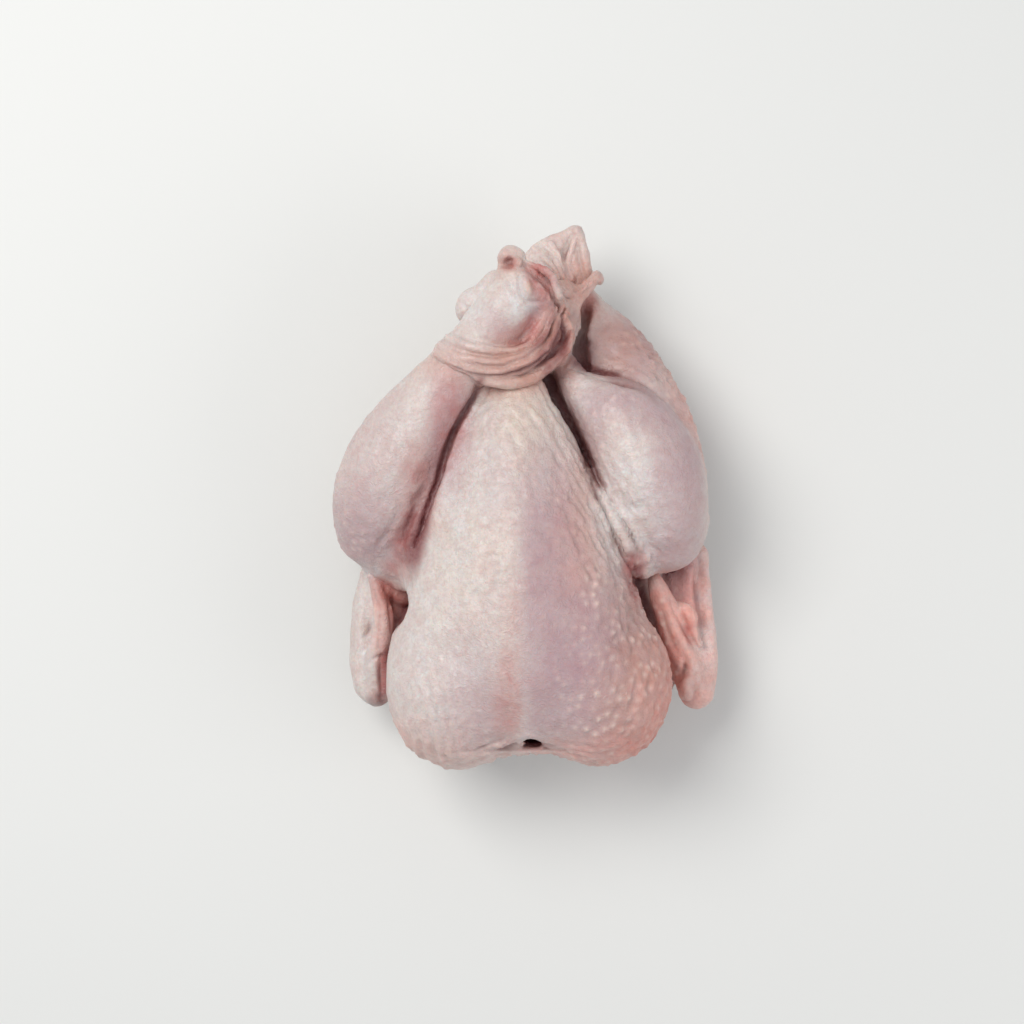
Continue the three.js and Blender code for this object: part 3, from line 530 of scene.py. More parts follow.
class Field:
    def __init__(self, box, step):
        self.axes = [np.arange(low, high, step, dtype=np.float32) for low, high in zip(*box)]
        self.values = np.full([len(axis) for axis in self.axes], FAR, np.float32)

    def window(self, low, high, reach):
        """The slices in reach of a form, and the three coordinate arrays there."""
        cuts = []
        for axis, a, b in zip(self.axes, low, high):
            first, last = np.searchsorted(axis, [a - reach, b + reach])
            cuts.append(slice(max(first - 1, 0), last + 1))
        x = self.axes[0][cuts[0]][:, None, None]
        y = self.axes[1][cuts[1]][None, :, None]
        z = self.axes[2][cuts[2]][None, None, :]
        return tuple(cuts), x, y, z

    def join(self, form, blend):
        low, high, distance = form
        cuts, x, y, z = self.window(low, high, 2 * blend + JOIN_MARGIN)
        self.values[cuts] = smooth_minimum(self.values[cuts], distance(x, y, z), blend)

    def join_limbs(self, rows, blend):
        for stations in rows:
            self.join(limb(stations), blend)

    def carve(self, form, blend):
        low, high, distance = form
        cuts, x, y, z = self.window(low, high, 2 * blend)
        self.values[cuts] = -smooth_minimum(-self.values[cuts], distance(x, y, z), blend)

    def top_at(self, x, y):
        """The height of the highest skin over a point of the plan, or None beside the bird."""
        column = self.values[np.abs(self.axes[0] - x).argmin(), np.abs(self.axes[1] - y).argmin()]
        inside = np.nonzero(column < 0)[0]
        if not len(inside):
            return None
        k = inside[-1]
        share = column[k] / (column[k] - column[k + 1])
        return float(self.axes[2][k] + share * (self.axes[2][k + 1] - self.axes[2][k]))

    def sample(self, points):
        """Field values at points, by trilinear interpolation."""
        index, share = [], []
        for a in range(3):
            i = np.clip(np.searchsorted(self.axes[a], points[:, a]) - 1, 0, len(self.axes[a]) - 2)
            index.append(i)
            share.append((points[:, a] - self.axes[a][i]) / (self.axes[a][i + 1] - self.axes[a][i]))
        total = 0
        for step in CORNERS:
            weights = [t if up else 1 - t for t, up in zip(share, step)]
            corner = tuple(i + up for i, up in zip(index, step))
            total = total + weights[0] * weights[1] * weights[2] * self.values[corner]
        return total

    def gradient(self, points):
        out = np.zeros_like(points)
        for a in range(3):
            shift = np.zeros(3)
            shift[a] = SLOPE_REACH
            out[:, a] = (self.sample(points + shift) - self.sample(points - shift)) / (2 * SLOPE_REACH)
        return out


def on_skin(field, line):
    """The stations [x, y, radius] of a line that are over the bird, with the skin's height there."""
    tops = [(x, y, field.top_at(x, y), r) for x, y, r in line]
    return [station for station in tops if station[2] is not None]


def join_folds(field, folds):
    """Lays folds on the skin as it is, then joins them all."""
    laid = [[[x, y, top - FOLD_SINK * r, r] for x, y, top, r in on_skin(field, fold)] for fold in folds]
    field.join_limbs(laid, FOLD_BLEND)


def cleave(field, line, depths, blend):
    """Cuts a cleft along a line [x, y, radius], in steps measured down from the skin."""
    tops = on_skin(field, line)
    for depth in depths:
        field.carve(limb([[x, y, top - depth, r] for x, y, top, r in tops]), blend)


def body_field():
    field = Field(BODY_BOX, BODY_STEP)
    field.join(loft(BACK), MUSCLE_BLEND)
    field.join(loft(BREAST), MUSCLE_BLEND)
    for lobe in BREAST_LOBES:
        field.join(egg(*lobe), MUSCLE_BLEND)
    field.join_limbs(BREAST_SIDES, MUSCLE_BLEND)
    field.join(limb(KEEL), KEEL_BLEND)
    field.join_limbs(THIGHS, MUSCLE_BLEND)
    field.join_limbs([RIGHT_DRUMSTICK, LEFT_DRUMSTICK], CREASE_BLEND)
    cleave(field, GAP, GAP_DEPTHS, WING_BLEND)
    cleave(field, CREASE, CREASE_DEPTHS, CLEFT_BLEND)
    for hollow in POCKETS:
        field.carve(limb(hollow), CREASE_BLEND)
    field.join_limbs([RIGHT_WING["upper"], LEFT_WING["upper"]] + SHOULDER_WEBS, TAIL_BLEND)
    field.carve(egg(*ARMPIT), CREASE_BLEND)
    field.join(limb(NECK_SKIN), CREASE_BLEND)
    field.carve(limb(NECK_CLEFT), CREASE_BLEND)
    field.join(egg(*NECK_WALL), TAIL_BLEND)
    join_folds(field, BREAST_FOLDS + [NECK_LIP])
    field.carve(egg(*NECK_HOLE), FOLD_BLEND)
    field.join(limb(NECK_NUB), FOLD_BLEND)
    return field


def knot_field():
    """Both hocks and the strap of skin that holds them."""
    field = Field(KNOT_BOX, KNOT_STEP)
    field.join(limb(RIGHT_SHANK), CREASE_BLEND)
    field.join(limb(RIGHT_HOCK), TAIL_BLEND)
    field.join_limbs([LEFT_SHANK, LEFT_HOCK], CREASE_BLEND)
    field.join(egg(*LEFT_KNUCKLE), CREASE_BLEND)
    field.join_limbs([STRAP, STRAP_ROOT], CREASE_BLEND)
    join_folds(field, STRAP_FOLDS)
    field.join(limb(STRAP_ROPE), WING_BLEND)
    field.join(egg(*ROPE_NUB), FOLD_BLEND)
    field.join(egg(*BONE_RIM), FOLD_BLEND)
    field.carve(limb(BONE_HOLE), FOLD_BLEND)
    field.join(egg(*BONE_PEARL), FOLD_BLEND)
    field.carve(limb(RAW_HOLLOW), FOLD_BLEND)
    field.join(limb(RAW_RIM), FOLD_BLEND)
    field.join(egg(*HOCK_PEARL), FOLD_BLEND)
    return field


def tail_field():
    field = Field(TAIL_BOX, TAIL_STEP)
    field.join_limbs(TAIL, TAIL_BLEND)
    join_folds(field, TAIL_FOLDS)
    return field


def wing_field(side, wing):
    field = Field(WING_BOXES[side], WING_STEP)
    for part, blend in WING_BLENDS.items():
        if part in wing:
            field.join(limb(wing[part]), blend)
    if side == "right":
        field.join(egg(*WRIST_KNOB), FOLD_BLEND)
    return field


# ---- From the field to a mesh ----

def edge_cuts(field, axis):
    """Grid edges along an axis that cross the skin: their lower corners, the crossing places,
    and whether the lower corner is inside."""
    low = [slice(None)] * 3
    high = [slice(None)] * 3
    low[axis], high[axis] = slice(None, -1), slice(1, None)
    a, b = field.values[tuple(low)], field.values[tuple(high)]
    index = np.argwhere((a < 0) != (b < 0))
    a, b = a[tuple(index.T)], b[tuple(index.T)]
    place = np.stack([field.axes[k][index[:, k]] for k in range(3)], 1)
    step = field.axes[axis][index[:, axis] + 1] - place[:, axis]
    place[:, axis] += step * a / (a - b)
    return index, place, a < 0


def surface_net(field):
    """One vertex in every cell that the skin crosses, one quad round every crossed edge."""
    cells = [len(axis) - 1 for axis in field.axes]
    total = np.zeros((np.prod(cells), 3))
    count = np.zeros(np.prod(cells))
    rings = []
    for axis in range(3):
        index, place, inside = edge_cuts(field, axis)
        side, other = [(1, 2), (2, 0), (0, 1)][axis]
        ring = []
        for back_side, back_other in ((0, 0), (1, 0), (1, 1), (0, 1)):
            cell = index.copy()
            cell[:, side] -= back_side
            cell[:, other] -= back_other
            flat = np.ravel_multi_index(tuple(cell.T), cells)
            ring.append(flat)
            count += np.bincount(flat, minlength=len(count))
            for k in range(3):
                total[:, k] += np.bincount(flat, place[:, k], minlength=len(count))
        ring = np.stack(ring, 1)
        ring[~inside] = ring[~inside][:, ::-1]
        rings.append(ring)
    used = np.nonzero(count)[0]
    number = np.full(len(count), -1)
    number[used] = np.arange(len(used))
    return total[used] / count[used, None], number[np.concatenate(rings)]


def settle(field, points):
    """Moves points onto the exact zero surface along the field's slope."""
    for _ in range(SETTLE_ROUNDS):
        slope = field.gradient(points)
        square = np.maximum((slope ** 2).sum(1), FLATTEST_SLOPE)
        step = field.sample(points)[:, None] * slope / square[:, None]
        points = points - np.clip(step, -LONGEST_STEP, LONGEST_STEP)
    return points


def make_mesh(name, points, faces):
    mesh = bpy.data.meshes.new(name)
    mesh.from_pydata((points * MM).tolist(), [], faces.tolist(), shade_flat=False)
    piece = bpy.data.objects.new(name, mesh)
    bpy.context.scene.collection.objects.link(piece)
    return piece


def add_mask(piece, name, values):
    layer = piece.data.attributes.new(name, "FLOAT", "POINT")
    layer.data.foreach_set("value", values.astype(np.float32))


# ---- Relief of the skin ----

GRADIENTS = np.random.default_rng(SEED).normal(size=(256, 3))
GRADIENTS /= np.linalg.norm(GRADIENTS, axis=1)[:, None]
HASH_PRIMES = np.array([73856093, 19349663, 83492791])
SALT_PRIME = 7919
NOISE_GAIN = 1.6


def noise(points, size, salt=0):
    """Smooth gradient noise, about -1 to 1, with cells of a size in millimetres."""
    cell = np.floor(points / size).astype(np.int64)
    t = points / size - cell
    ease = t ** 3 * (t * (t * 6 - 15) + 10)
    total = 0
    for step in CORNERS:
        spots = (cell + step) * HASH_PRIMES
        pick = (spots[:, 0] ^ spots[:, 1] ^ spots[:, 2]) + salt * SALT_PRIME
        weight = np.prod(np.where(step, ease, 1 - ease), 1)
        total = total + weight * ((t - step) * GRADIENTS[pick % len(GRADIENTS)]).sum(1)
    return total * NOISE_GAIN


def ease_between(low, high, values):
    t = np.clip((values - low) / (high - low), 0, 1)
    return t * t * (3 - 2 * t)


def patch(points, middle, half, soft=0.6):
    """1 inside an ellipsoid of half sizes, easing to 0 over a share of its size."""
    reach = np.sqrt((((points - middle) / half) ** 2).sum(1))
    return 1 - ease_between(1 - soft / 2, 1 + soft / 2, reach)


def unit(vector):
    vector = np.array(vector, float)
    return vector / np.linalg.norm(vector)


def ripples(points, direction, length, waver, salt):
    """Rounded ridges across a direction, a wave length apart, made uneven by noise."""
    drift = waver * noise(points, 3 * length, salt) + 0.4 * waver * noise(points, length, salt + 1)
    strength = 0.6 + 0.6 * noise(points, 2.5 * length, salt + 2)
    return strength * np.sin(2 * math.pi * (points @ unit(direction) + drift) / length)


def wrinkles(points, along, size, salt, stretch=4):
    """Sharp little ridges along a direction: noise drawn out that way and folded where it is 0."""
    along = unit(along)
    drawn = points - np.outer(points @ along, along) * (1 - 1 / stretch)
    folded = 1 - 2.2 * np.abs(noise(drawn + 0.8 * noise(points, 9, salt)[:, None], size, salt))
    return np.clip(folded, -0.4, 1)


def spread_spots(points, spacing):
    """Picks points that are at least a spacing apart, in a fixed random order."""
    grid = {}
    chosen = []
    order = np.random.default_rng(SEED).permutation(len(points))
    cells = np.floor(points / spacing).astype(int)
    around = [(i, j, k) for i in (-1, 0, 1) for j in (-1, 0, 1) for k in (-1, 0, 1)]
    for n in order:
        here = points[n]
        c = cells[n]
        near = [q for i, j, k in around for q in grid.get((c[0] + i, c[1] + j, c[2] + k), ())]
        gaps = ((q[0] - here[0]) ** 2 + (q[1] - here[1]) ** 2 + (q[2] - here[2]) ** 2 for q in near)
        if all(gap > spacing ** 2 for gap in gaps):
            grid.setdefault(tuple(c), []).append(here)
            chosen.append(here)
    return np.array(chosen)


def distance_to_spots(points, spots):
    tree = mathutils.kdtree.KDTree(len(spots))
    for number, spot in enumerate(spots):
        tree.insert(spot, number)
    tree.balance()
    return np.array([tree.find(point)[2] for point in points])


def goosebumps(points):
    """How high each point stands on the nearest feather follicle, 0 to 1."""
    reach = distance_to_spots(points, spread_spots(points, FOLLICLE_SPACING))
    uneven = np.clip(0.7 + 1.3 * noise(points, 8, 81), 0, 1.4)
    return np.exp(-(reach / FOLLICLE_RADIUS) ** 2) * roughness(points) * uneven


# Patches of wrinkled skin: middle, half sizes, the wrinkles' direction, size and height, and a salt
WRINKLED = [
    ([2, -28, 90], [40, 24, 30], [1, 0.05, 0], 4.4, 0.6, 13),
    ([0, -112, 62], [60, 12, 26], [1, 0, 0.1], 5, 0.9, 17),
    ([0, -112, 38], [34, 12, 26], [0.1, 0, 1], 5, 1.3, 25),
    ([44, 64, 46], [20, 22, 30], [0.9, -0.4, 0], 4, 0.9, 18),
    ([60, 50, 30], [24, 40, 30], [1, 0.5, 0], 5.5, 0.7, 19),
    ([68, 10, 36], [16, 40, 30], [0.3, 1, 0], 5, 0.6, 21),
    ([44, -20, 75], [18, 34, 24], [0.45, -1, 0], 4.2, 0.8, 23),
    ([-2, 24, 80], [26, 36, 30], [0.5, -1, 0], 4, 0.6, 29),
    ([26, -8, 86], [14, 34, 20], [0.6, -1, 0], 3.6, 0.9, 35),
    ([44, -74, 66], [22, 42, 40], [0.5, 1, 0], 4.2, 0.9, 37),
    ([-44, -10, 60], [12, 40, 30], [0.5, -1, 0], 4.5, 0.5, 39),
    ([52, 22, 76], [20, 26, 30], [0.6, -1, 0], 5, 0.35, 45),
    ([-62, 4, 66], [20, 36, 40], [0.5, 1, 0], 5, 0.35, 47),
    ([-30, -60, 84], [30, 50, 40], [0.7, -1, 0], 5, 0.3, 49),
]

# Where the follicles show most: x, y, z, three half sizes, strength. The back adds to it low down.
ROUGH_PATCHES = [
    (42, -76, 66, 34, 52, 60, 1), (62, 40, 30, 30, 60, 30, 0.8), (-68, 0, 40, 25, 60, 40, 0.5),
    (-40, -100, 60, 30, 22, 50, 0.5), (20, 20, 80, 30, 40, 30, 0.35),
]
BACK_HEIGHTS = (34, 20)
BACK_ROUGHNESS = 0.7
LEAST_ROUGHNESS = 0.16


def roughness(points):
    """How much the follicles show: most on the right of the breast, the flanks and the back."""
    rough = LEAST_ROUGHNESS + BACK_ROUGHNESS * ease_between(*BACK_HEIGHTS, points[:, 2])
    for *spot, strength in ROUGH_PATCHES:
        rough += strength * patch(points, spot[:3], spot[3:])
    return np.clip(rough, 0, 1)


def body_relief(points, bumps):
    """Height of the skin's folds, lumps and goosebumps over the smooth form."""
    height = BODY_BUMPS * bumps
    for salt, (size, depth) in enumerate(LUMPS, 1):
        height += depth * noise(points, size, salt)
    height += ROUGH_WRINKLES * roughness(points) * wrinkles(points, [0.5, -1, 0], WRINKLE_SIZE, 5, 2)
    for middle, half, along, size, depth, salt in WRINKLED:
        height += depth * patch(points, middle, half) * wrinkles(points, along, size, salt)
    return height + RIB_HEIGHT * patch(points, *RIB_PATCH) * ripples(points, *RIBS, 11)


def knot_relief(points, bumps):
    """Fine wrinkles that run along the strap's folds, round the hock. It has no goosebumps."""
    across, ahead = (points[:, :2] - HOCK_AXIS).T
    away = np.hypot(across, ahead)
    edge = away + EDGE_SHIFT * ease_between(0, EDGE_SHIFT_WIDTH, across) - EDGE_WAVER * noise(points, 12, 30)
    turns = 2 * math.pi * (away + 1.6 * noise(points, 10, 31) + 0.4 * noise(points, 4, 32))
    length, height = FINE_WRINKLES
    fine = height * np.sin(turns / length) * (0.6 + 0.7 * noise(points, 6, 34))
    length, height = BROAD_WRINKLES
    fine += height * np.sin(turns / length + 1)
    return ease_between(*STRAP_EDGE, edge) * fine + LUMP_HEIGHT * noise(points, 9, 33)


def plain_relief(lump, along, wrinkle, bump, salt):
    """The relief of a piece with lumps, wrinkles and goosebumps all over it."""
    def relief(points, bumps):
        height = LUMP_HEIGHT * noise(points, lump, salt) + bump * bumps
        return height + wrinkle * wrinkles(points, along, WRINKLE_SIZE, salt + 2)

    return relief


def line_relief(points, lines):
    """Height of ridges and grooves that follow lines in plan."""
    height = np.zeros(len(points))
    waver, size = LINE_WAVER
    plan = points[:, :2] + waver * np.stack([noise(points, size, 61), noise(points, size, 62)], 1)
    for width, *stations in lines:
        line = smooth_line(stations, LINE_STEPS)
        low = line[:, :2].min(0) - 3 * width
        high = line[:, :2].max(0) + 3 * width
        near = np.all((plan > low) & (plan < high), axis=1)
        spots = plan[near]
        nearest = np.full(len(spots), np.inf)
        level = np.zeros(len(spots))
        for start, end in zip(line[:-1], line[1:]):
            along = end[:2] - start[:2]
            t = np.clip((spots - start[:2]) @ along / (along @ along), 0, 1)
            gap = np.linalg.norm(spots - start[:2] - t[:, None] * along, axis=1)
            closer = gap < nearest
            nearest = np.where(closer, gap, nearest)
            level = np.where(closer, start[2] + t * (end[2] - start[2]), level)
        height[near] += level * np.exp(-(nearest / width) ** 2)
    return height


# ---- Colour ----

# Soft patches of colour: x, y, z, three half sizes, strength
# Red raw flesh, and painted shade in the creases beside the drumsticks and at the wings
RED_FLESH_AND_SHADE_PATCHES = [
    (6, 91, 86, 7, 9, 12, 0.8), (-8.3, 98.5, 90, 3.6, 3.2, 6, 0.8), (3, 96, 92, 6, 3.5, 8, 0.5),
    (0.5, 71, 84, 4.5, 6, 12, 0.75), (-6.5, 67.5, 84, 10, 4.5, 10, 0.65), (-33.5, 33, 78, 8, 20, 14, 0.6),
    (-47, 2, 74, 8, 22, 16, 0.55), (-55, -31, 50, 9, 6, 14, 0.85), (-65, -88, 34, 6, 7, 10, 0.4),
    (-51, -20, 62, 8, 14, 18, 0.85), (-62, -42, 46, 9, 7, 8, 0.7), (-57, -52, 38, 8, 12, 14, 0.9),
    (-63.5, -76, 36, 3.5, 14, 14, 0.8), (60, -44, 48, 6, 10, 8, 0.3), (71.5, -60, 42, 2.5, 7, 5, 0.7),
    (72, -88, 40, 4, 7, 6, 0.35), (46, -42, 44, 6, 20, 24, 0.95), (54, -88, 54, 12, 26, 28, 0.5),
    (36, -106, 58, 26, 12, 30, 0.3), (-9, -88, 92, 6, 24, 16, 0.4), (-7, -64, 96, 5, 34, 14, 0.3),
    (27, 84, 44, 4, 8, 12, 0.6), (14, 60, 68, 8, 8, 10, 0.25), (46, -30, 60, 6, 8, 14, 0.7),
    (44.5, -38, 64, 4.5, 12, 14, 0.75),
]
SALMON_PATCHES = [
    (-6, 55, 78, 34, 11, 16, 0.3), (14, 68, 70, 12, 18, 20, 0.3), (22, 88, 56, 12, 12, 14, 0.3),
    (64, -54, 46, 13, 26, 14, 0.95), (79, -50, 32, 8, 32, 14, 0.8), (76, -84, 36, 16, 14, 14, 0.75),
    (-65, -52, 42, 6, 20, 12, 0.5), (52, -92, 58, 18, 32, 36, 0.7), (34, -110, 56, 40, 14, 34, 0.7),
    (-38, -106, 56, 28, 14, 32, 0.5), (72, 36, 34, 12, 36, 26, 0.5), (20, -10, 92, 10, 40, 24, 0.2),
    (12, 106, 48, 22, 14, 14, 0.2),
]
# Mauve flesh, and painted shade on the lower right of the breast and the right flank, turned from the key
# light
MAUVE_AND_SHADE_PATCHES = [
    (6, 2, 90, 14, 30, 24, 0.3), (-60, 14, 70, 22, 30, 24, 0.25), (-33, 30, 76, 10, 30, 20, 0.5),
    (34, -72, 80, 22, 38, 34, 0.7), (-14, 74, 84, 7, 8, 10, 0.5), (7, 78, 84, 6, 5, 10, 0.5),
    (-22, -80, 84, 15, 26, 24, 0.5), (68, -40, 34, 8, 14, 10, 0.6), (-14, 14, 88, 7, 30, 20, 0.25),
    (-14, -42, 96, 6, 14, 12, 0.2), (-70, -14, 56, 20, 22, 30, 0.6), (-34, 22, 76, 9, 26, 20, 0.4),
    (65, 6, 70, 14, 36, 26, 0.65), (40, 42, 72, 18, 8, 16, 0.5), (52, 34, 72, 14, 10, 20, 0.5),
    (28, 26, 74, 6, 16, 16, 0.5), (62, -24, 58, 14, 12, 20, 0.4), (7, 75, 84, 7, 9, 12, 0.6),
    (44, 64, 44, 18, 18, 20, 0.6), (62, 52, 36, 26, 44, 34, 0.35), (-22, -94, 76, 16, 18, 22, 0.2),
    (71, -40, 30, 8, 17, 12, 1),
]
TAN_PATCHES = [
    (-6, 55, 78, 34, 11, 16, 0.95), (14, 68, 78, 12, 18, 12, 1), (22, 90, 56, 12, 14, 16, 0.7),
    (-7, 98, 86, 9, 7, 10, 0.5), (22, 108, 48, 10, 12, 10, 0.15), (44, -84, 68, 20, 34, 34, 0.8),
    (54, -90, 56, 16, 36, 36, 0.75), (-57, -45, 40, 12, 10, 12, 0.7), (26, -10, 88, 8, 36, 20, 0.3),
    (40, -40, 78, 10, 26, 26, 0.3), (44, 64, 46, 18, 20, 22, 0.6), (66, 44, 30, 14, 40, 26, 0.45),
    (-40, -108, 52, 26, 12, 30, 0.4),
]
CREAM_PATCHES = [
    (-4, 34, 84, 18, 22, 20, 0.4), (-26, -20, 84, 20, 60, 30, 0.2), (-24, 56, 76, 16, 8, 10, 0.3),
    (16, 104, 46, 16, 14, 14, 0.2), (0.3, 87.5, 91, 2, 3, 2.5, 1), (22, -28, 92, 10, 26, 20, 0.4),
]
# Pale membranes and fat, and painted light on the lit left of the breast and a painted highlight on the
# middle of the right drumstick
PALE_AND_HIGHLIGHT_PATCHES = [
    (44, -6, 78, 16, 26, 20, 0.6), (22, 43, 68, 9, 12, 12, 0.5), (14, 106, 50, 14, 12, 12, 0.3),
    (80, -52, 32, 5, 34, 12, 0.4), (-21, 80, 70, 10, 12, 20, 0.7), (-66, -33, 46, 6, 3.5, 12, 0.6),
    (-38, -60, 80, 20, 40, 40, 0.45), (-24, 8, 84, 14, 40, 20, 0.5), (-4, 83, 90, 8, 7, 10, 0.8),
    (-72, -56, 36, 5, 26, 16, 0.4),
]
# Painted shade: patches of shade between parts, in gaps and round the holes
SHADE_PATCHES = [
    (-54.5, -54, 38, 4, 8, 14, 0.75), (-52, -27, 54, 8, 6, 14, 0.35), (-67, -92, 34, 6, 6, 8, 0.6),
    (76, -84, 40, 9, 10, 10, 0.3), (38, 66, 48, 16, 14, 20, 0.3), (-5, 54, 80, 28, 9, 14, 0.35),
    (36, -84, 74, 22, 30, 30, 0.3), (38, -50, 80, 16, 26, 24, 0.25), (40, 36, 66, 16, 10, 14, 0.3),
    (46, -30, 58, 5, 7, 14, 0.5), (44, -36, 64, 4, 9, 14, 0.35), (19, 77, 64, 3, 5, 8, 0.7),
    (48, -40, 36, 5, 16, 14, 0.5), (52, -54, 40, 3, 5, 10, 0.7), (31.5, 96, 54, 2, 3, 3, 0.5),
    (9, 62, 78, 8, 7, 12, 0.45), (14, 67, 74, 5, 9, 8, 0.6), (24.5, 61, 48, 6, 10, 18, 0.7),
    (1.5, -106, 70, 5, 3, 12, 0.6),
]
# The breast is darker right of its keel, partly mauve flesh and partly painted shade of the side turned from
# the key light: where that starts across the bird, how far it goes, how much
RIDGE_SIDE = (-10, 3)
KEEL_SIDE_SHADE = ([10, -52, 92], [22, 56, 30], 0.9)
KEEL_SIDE_SHADE_SHARE = 0.75
PATCH_SOFTNESS = 1.1

# Painted shade: how far from the skin hollows and deep gaps are looked for, and what counts as open there
HOLLOW_REACH = 5
DEEP_REACH = 12
OPEN_SHARE = 0.75
UPWARD_LEAN = 0.7
SHUT_IN = (0.35, 1)
GROOVE_SHADE = 0.36
DEEPEST_GROOVE = 2.5


def srgb(red, green, blue):
    """A colour seen as 0 to 255 on a screen, as the linear colour that a shader takes."""
    shares = [value / 255 for value in (red, green, blue)]
    return [share / 12.92 if share <= 0.04045 else ((share + 0.055) / 1.055) ** 2.4 for share in shares] + [1]


PALE = srgb(212, 206, 200)
PINK = srgb(206, 178, 173)
PINK_SHADE = srgb(176, 134, 130)
CREAM = srgb(220, 202, 176)
# Mauve: flesh showing through, and also painted shade
MAUVE_AND_SHADE = srgb(168, 130, 140)
SALMON = srgb(234, 166, 152)
TAN = srgb(184, 136, 118)
# Whitish: pale membranes, and also painted light and highlights
PALE_AND_HIGHLIGHT = srgb(222, 220, 220)
# Red: raw flesh, and also painted shade in creases
RED_FLESH_AND_SHADE = srgb(176, 78, 70)
# Painted shade in hollows and grooves
HOLLOW_SHADE = srgb(112, 50, 44)
# Painted shade in gaps and clefts
GAP_SHADE = srgb(112, 50, 54)
# Painted highlight on the tops of the goosebumps
BUMP_HIGHLIGHT = srgb(226, 204, 194)

MASKS = {
    "red": RED_FLESH_AND_SHADE_PATCHES, "salmon": SALMON_PATCHES, "tan": TAN_PATCHES, "pale_and_highlight": PALE_AND_HIGHLIGHT_PATCHES,
    "cream": CREAM_PATCHES,
}
# The tints in their order: mask, colour, size of the noise that breaks it up, the least of it left
TINTS = [
    ("cream", CREAM, 12, 0.5),
    ("mauve_and_shade", MAUVE_AND_SHADE, 16, 0.75),
    ("tan", TAN, 9, 0.5),
    ("salmon", SALMON, 10, 0.5),
    ("pale_and_highlight", PALE_AND_HIGHLIGHT, 8, 0.2),
    ("red", RED_FLESH_AND_SHADE, 6, 0.5),
]
# Mottling in the darker pink: size, detail and distortion of its noise, the range eased, the most of it
MOTTLES = [(5, 3, 1.0, 0.42, 0.62, 0.16), (1.6, 4, 0.3, 0.35, 0.7, 0.2)]
# How far noise or a mask changes the skin: the range of it that is eased, the least and the most
PINK_RANGE = (0.3, 0.7, 0.12, 0.42)
HOLLOW_SHADE_RANGE = (0.35, 1.0, 0, 0.75)
GAP_SHADE_RANGE = (0.1, 1.0, 0, 0.85)
BUMP_HIGHLIGHT_RANGE = (0.35, 0.6, 0.2, 0.6)
GLOSS_RANGE = (0.3, 0.7, 0.36, 0.52)
SHADER = {
    "Subsurface Weight": 0.35,
    "Subsurface Radius": (1.0, 0.38, 0.25),
    "Subsurface Scale": 0.0035,
    "Coat Weight": 0.12,
    "Coat Roughness": 0.25,
}
# The finest bump, in millimetres: pores, cells and hair-thin creases, each a size and a share
BUMP_STRENGTH = 0.55
BUMP_DEPTH = 0.5
PORES, CELLS, CREASES = (0.9, 0.5), (1.7, 0.4), (2.6, 3.0)


def patches(points, rows):
    clear = 1
    for *spot, strength in rows:
        clear = clear * (1 - strength * patch(points, spot[:3], spot[3:], PATCH_SOFTNESS))
    return 1 - clear


def mauve_and_shade_mask(points):
    """Flesh that shows through the skin: soft patches, some of them painted shade, and the breast right of
    its keel, partly painted shade of the side turned from the key light.
    """
    across = points[:, 0] + 1.2 * noise(points, 16, 71)
    keel_side_shade = ease_between(*RIDGE_SIDE, across) * patch(points, *KEEL_SIDE_SHADE)
    return 1 - (1 - patches(points, MAUVE_AND_SHADE_PATCHES)) * (1 - KEEL_SIDE_SHADE_SHARE * keel_side_shade)


class Nodes:
    """Short calls to build one material's node tree."""

    def __init__(self, name):
        self.material = bpy.data.materials.new(name)
        self.material.use_nodes = True
        self.tree = self.material.node_tree
        self.shader = self.tree.nodes["Principled BSDF"]

    def add(self, kind, **settings):
        node = self.tree.nodes.new(kind)
        for key, value in settings.items():
            setattr(node, key, value)
        return node

    def plug(self, value, socket):
        if isinstance(value, bpy.types.NodeSocket):
            self.tree.links.new(value, socket)
        else:
            socket.default_value = value

    def attribute(self, name):
        return self.add("ShaderNodeAttribute", attribute_name=name).outputs["Fac"]

    def texture(self, kind, size, **settings):
        """A texture in the piece's own frame, with cells of a size in millimetres."""
        node = self.add(kind)
        self.plug(self.add("ShaderNodeTexCoord").outputs["Object"], node.inputs["Vector"])
        node.inputs["Scale"].default_value = 1 / (size * MM)
        for socket, value in settings.items():
            node.inputs[socket].default_value = value
        return node.outputs[0]

    def noise(self, size, detail=2.0, distortion=0.0):
        return self.texture("ShaderNodeTexNoise", size, Detail=detail, Distortion=distortion)

    def math(self, operation, one, two=0.0):
        node = self.add("ShaderNodeMath", operation=operation)
        self.plug(one, node.inputs[0])
        self.plug(two, node.inputs[1])
        return node.outputs[0]

    def range(self, value, low, high, out_low=0.0, out_high=1.0):
        node = self.add("ShaderNodeMapRange", interpolation_type="SMOOTHSTEP")
        self.plug(value, node.inputs["Value"])
        limits = {"From Min": low, "From Max": high, "To Min": out_low, "To Max": out_high}
        for socket, number in limits.items():
            node.inputs[socket].default_value = number
        return node.outputs["Result"]

    def mix(self, share, one, two):
        node = self.add("ShaderNodeMix", data_type="RGBA")
        self.plug(share, node.inputs[0])
        self.plug(one, node.inputs[6])
        self.plug(two, node.inputs[7])
        return node.outputs[2]


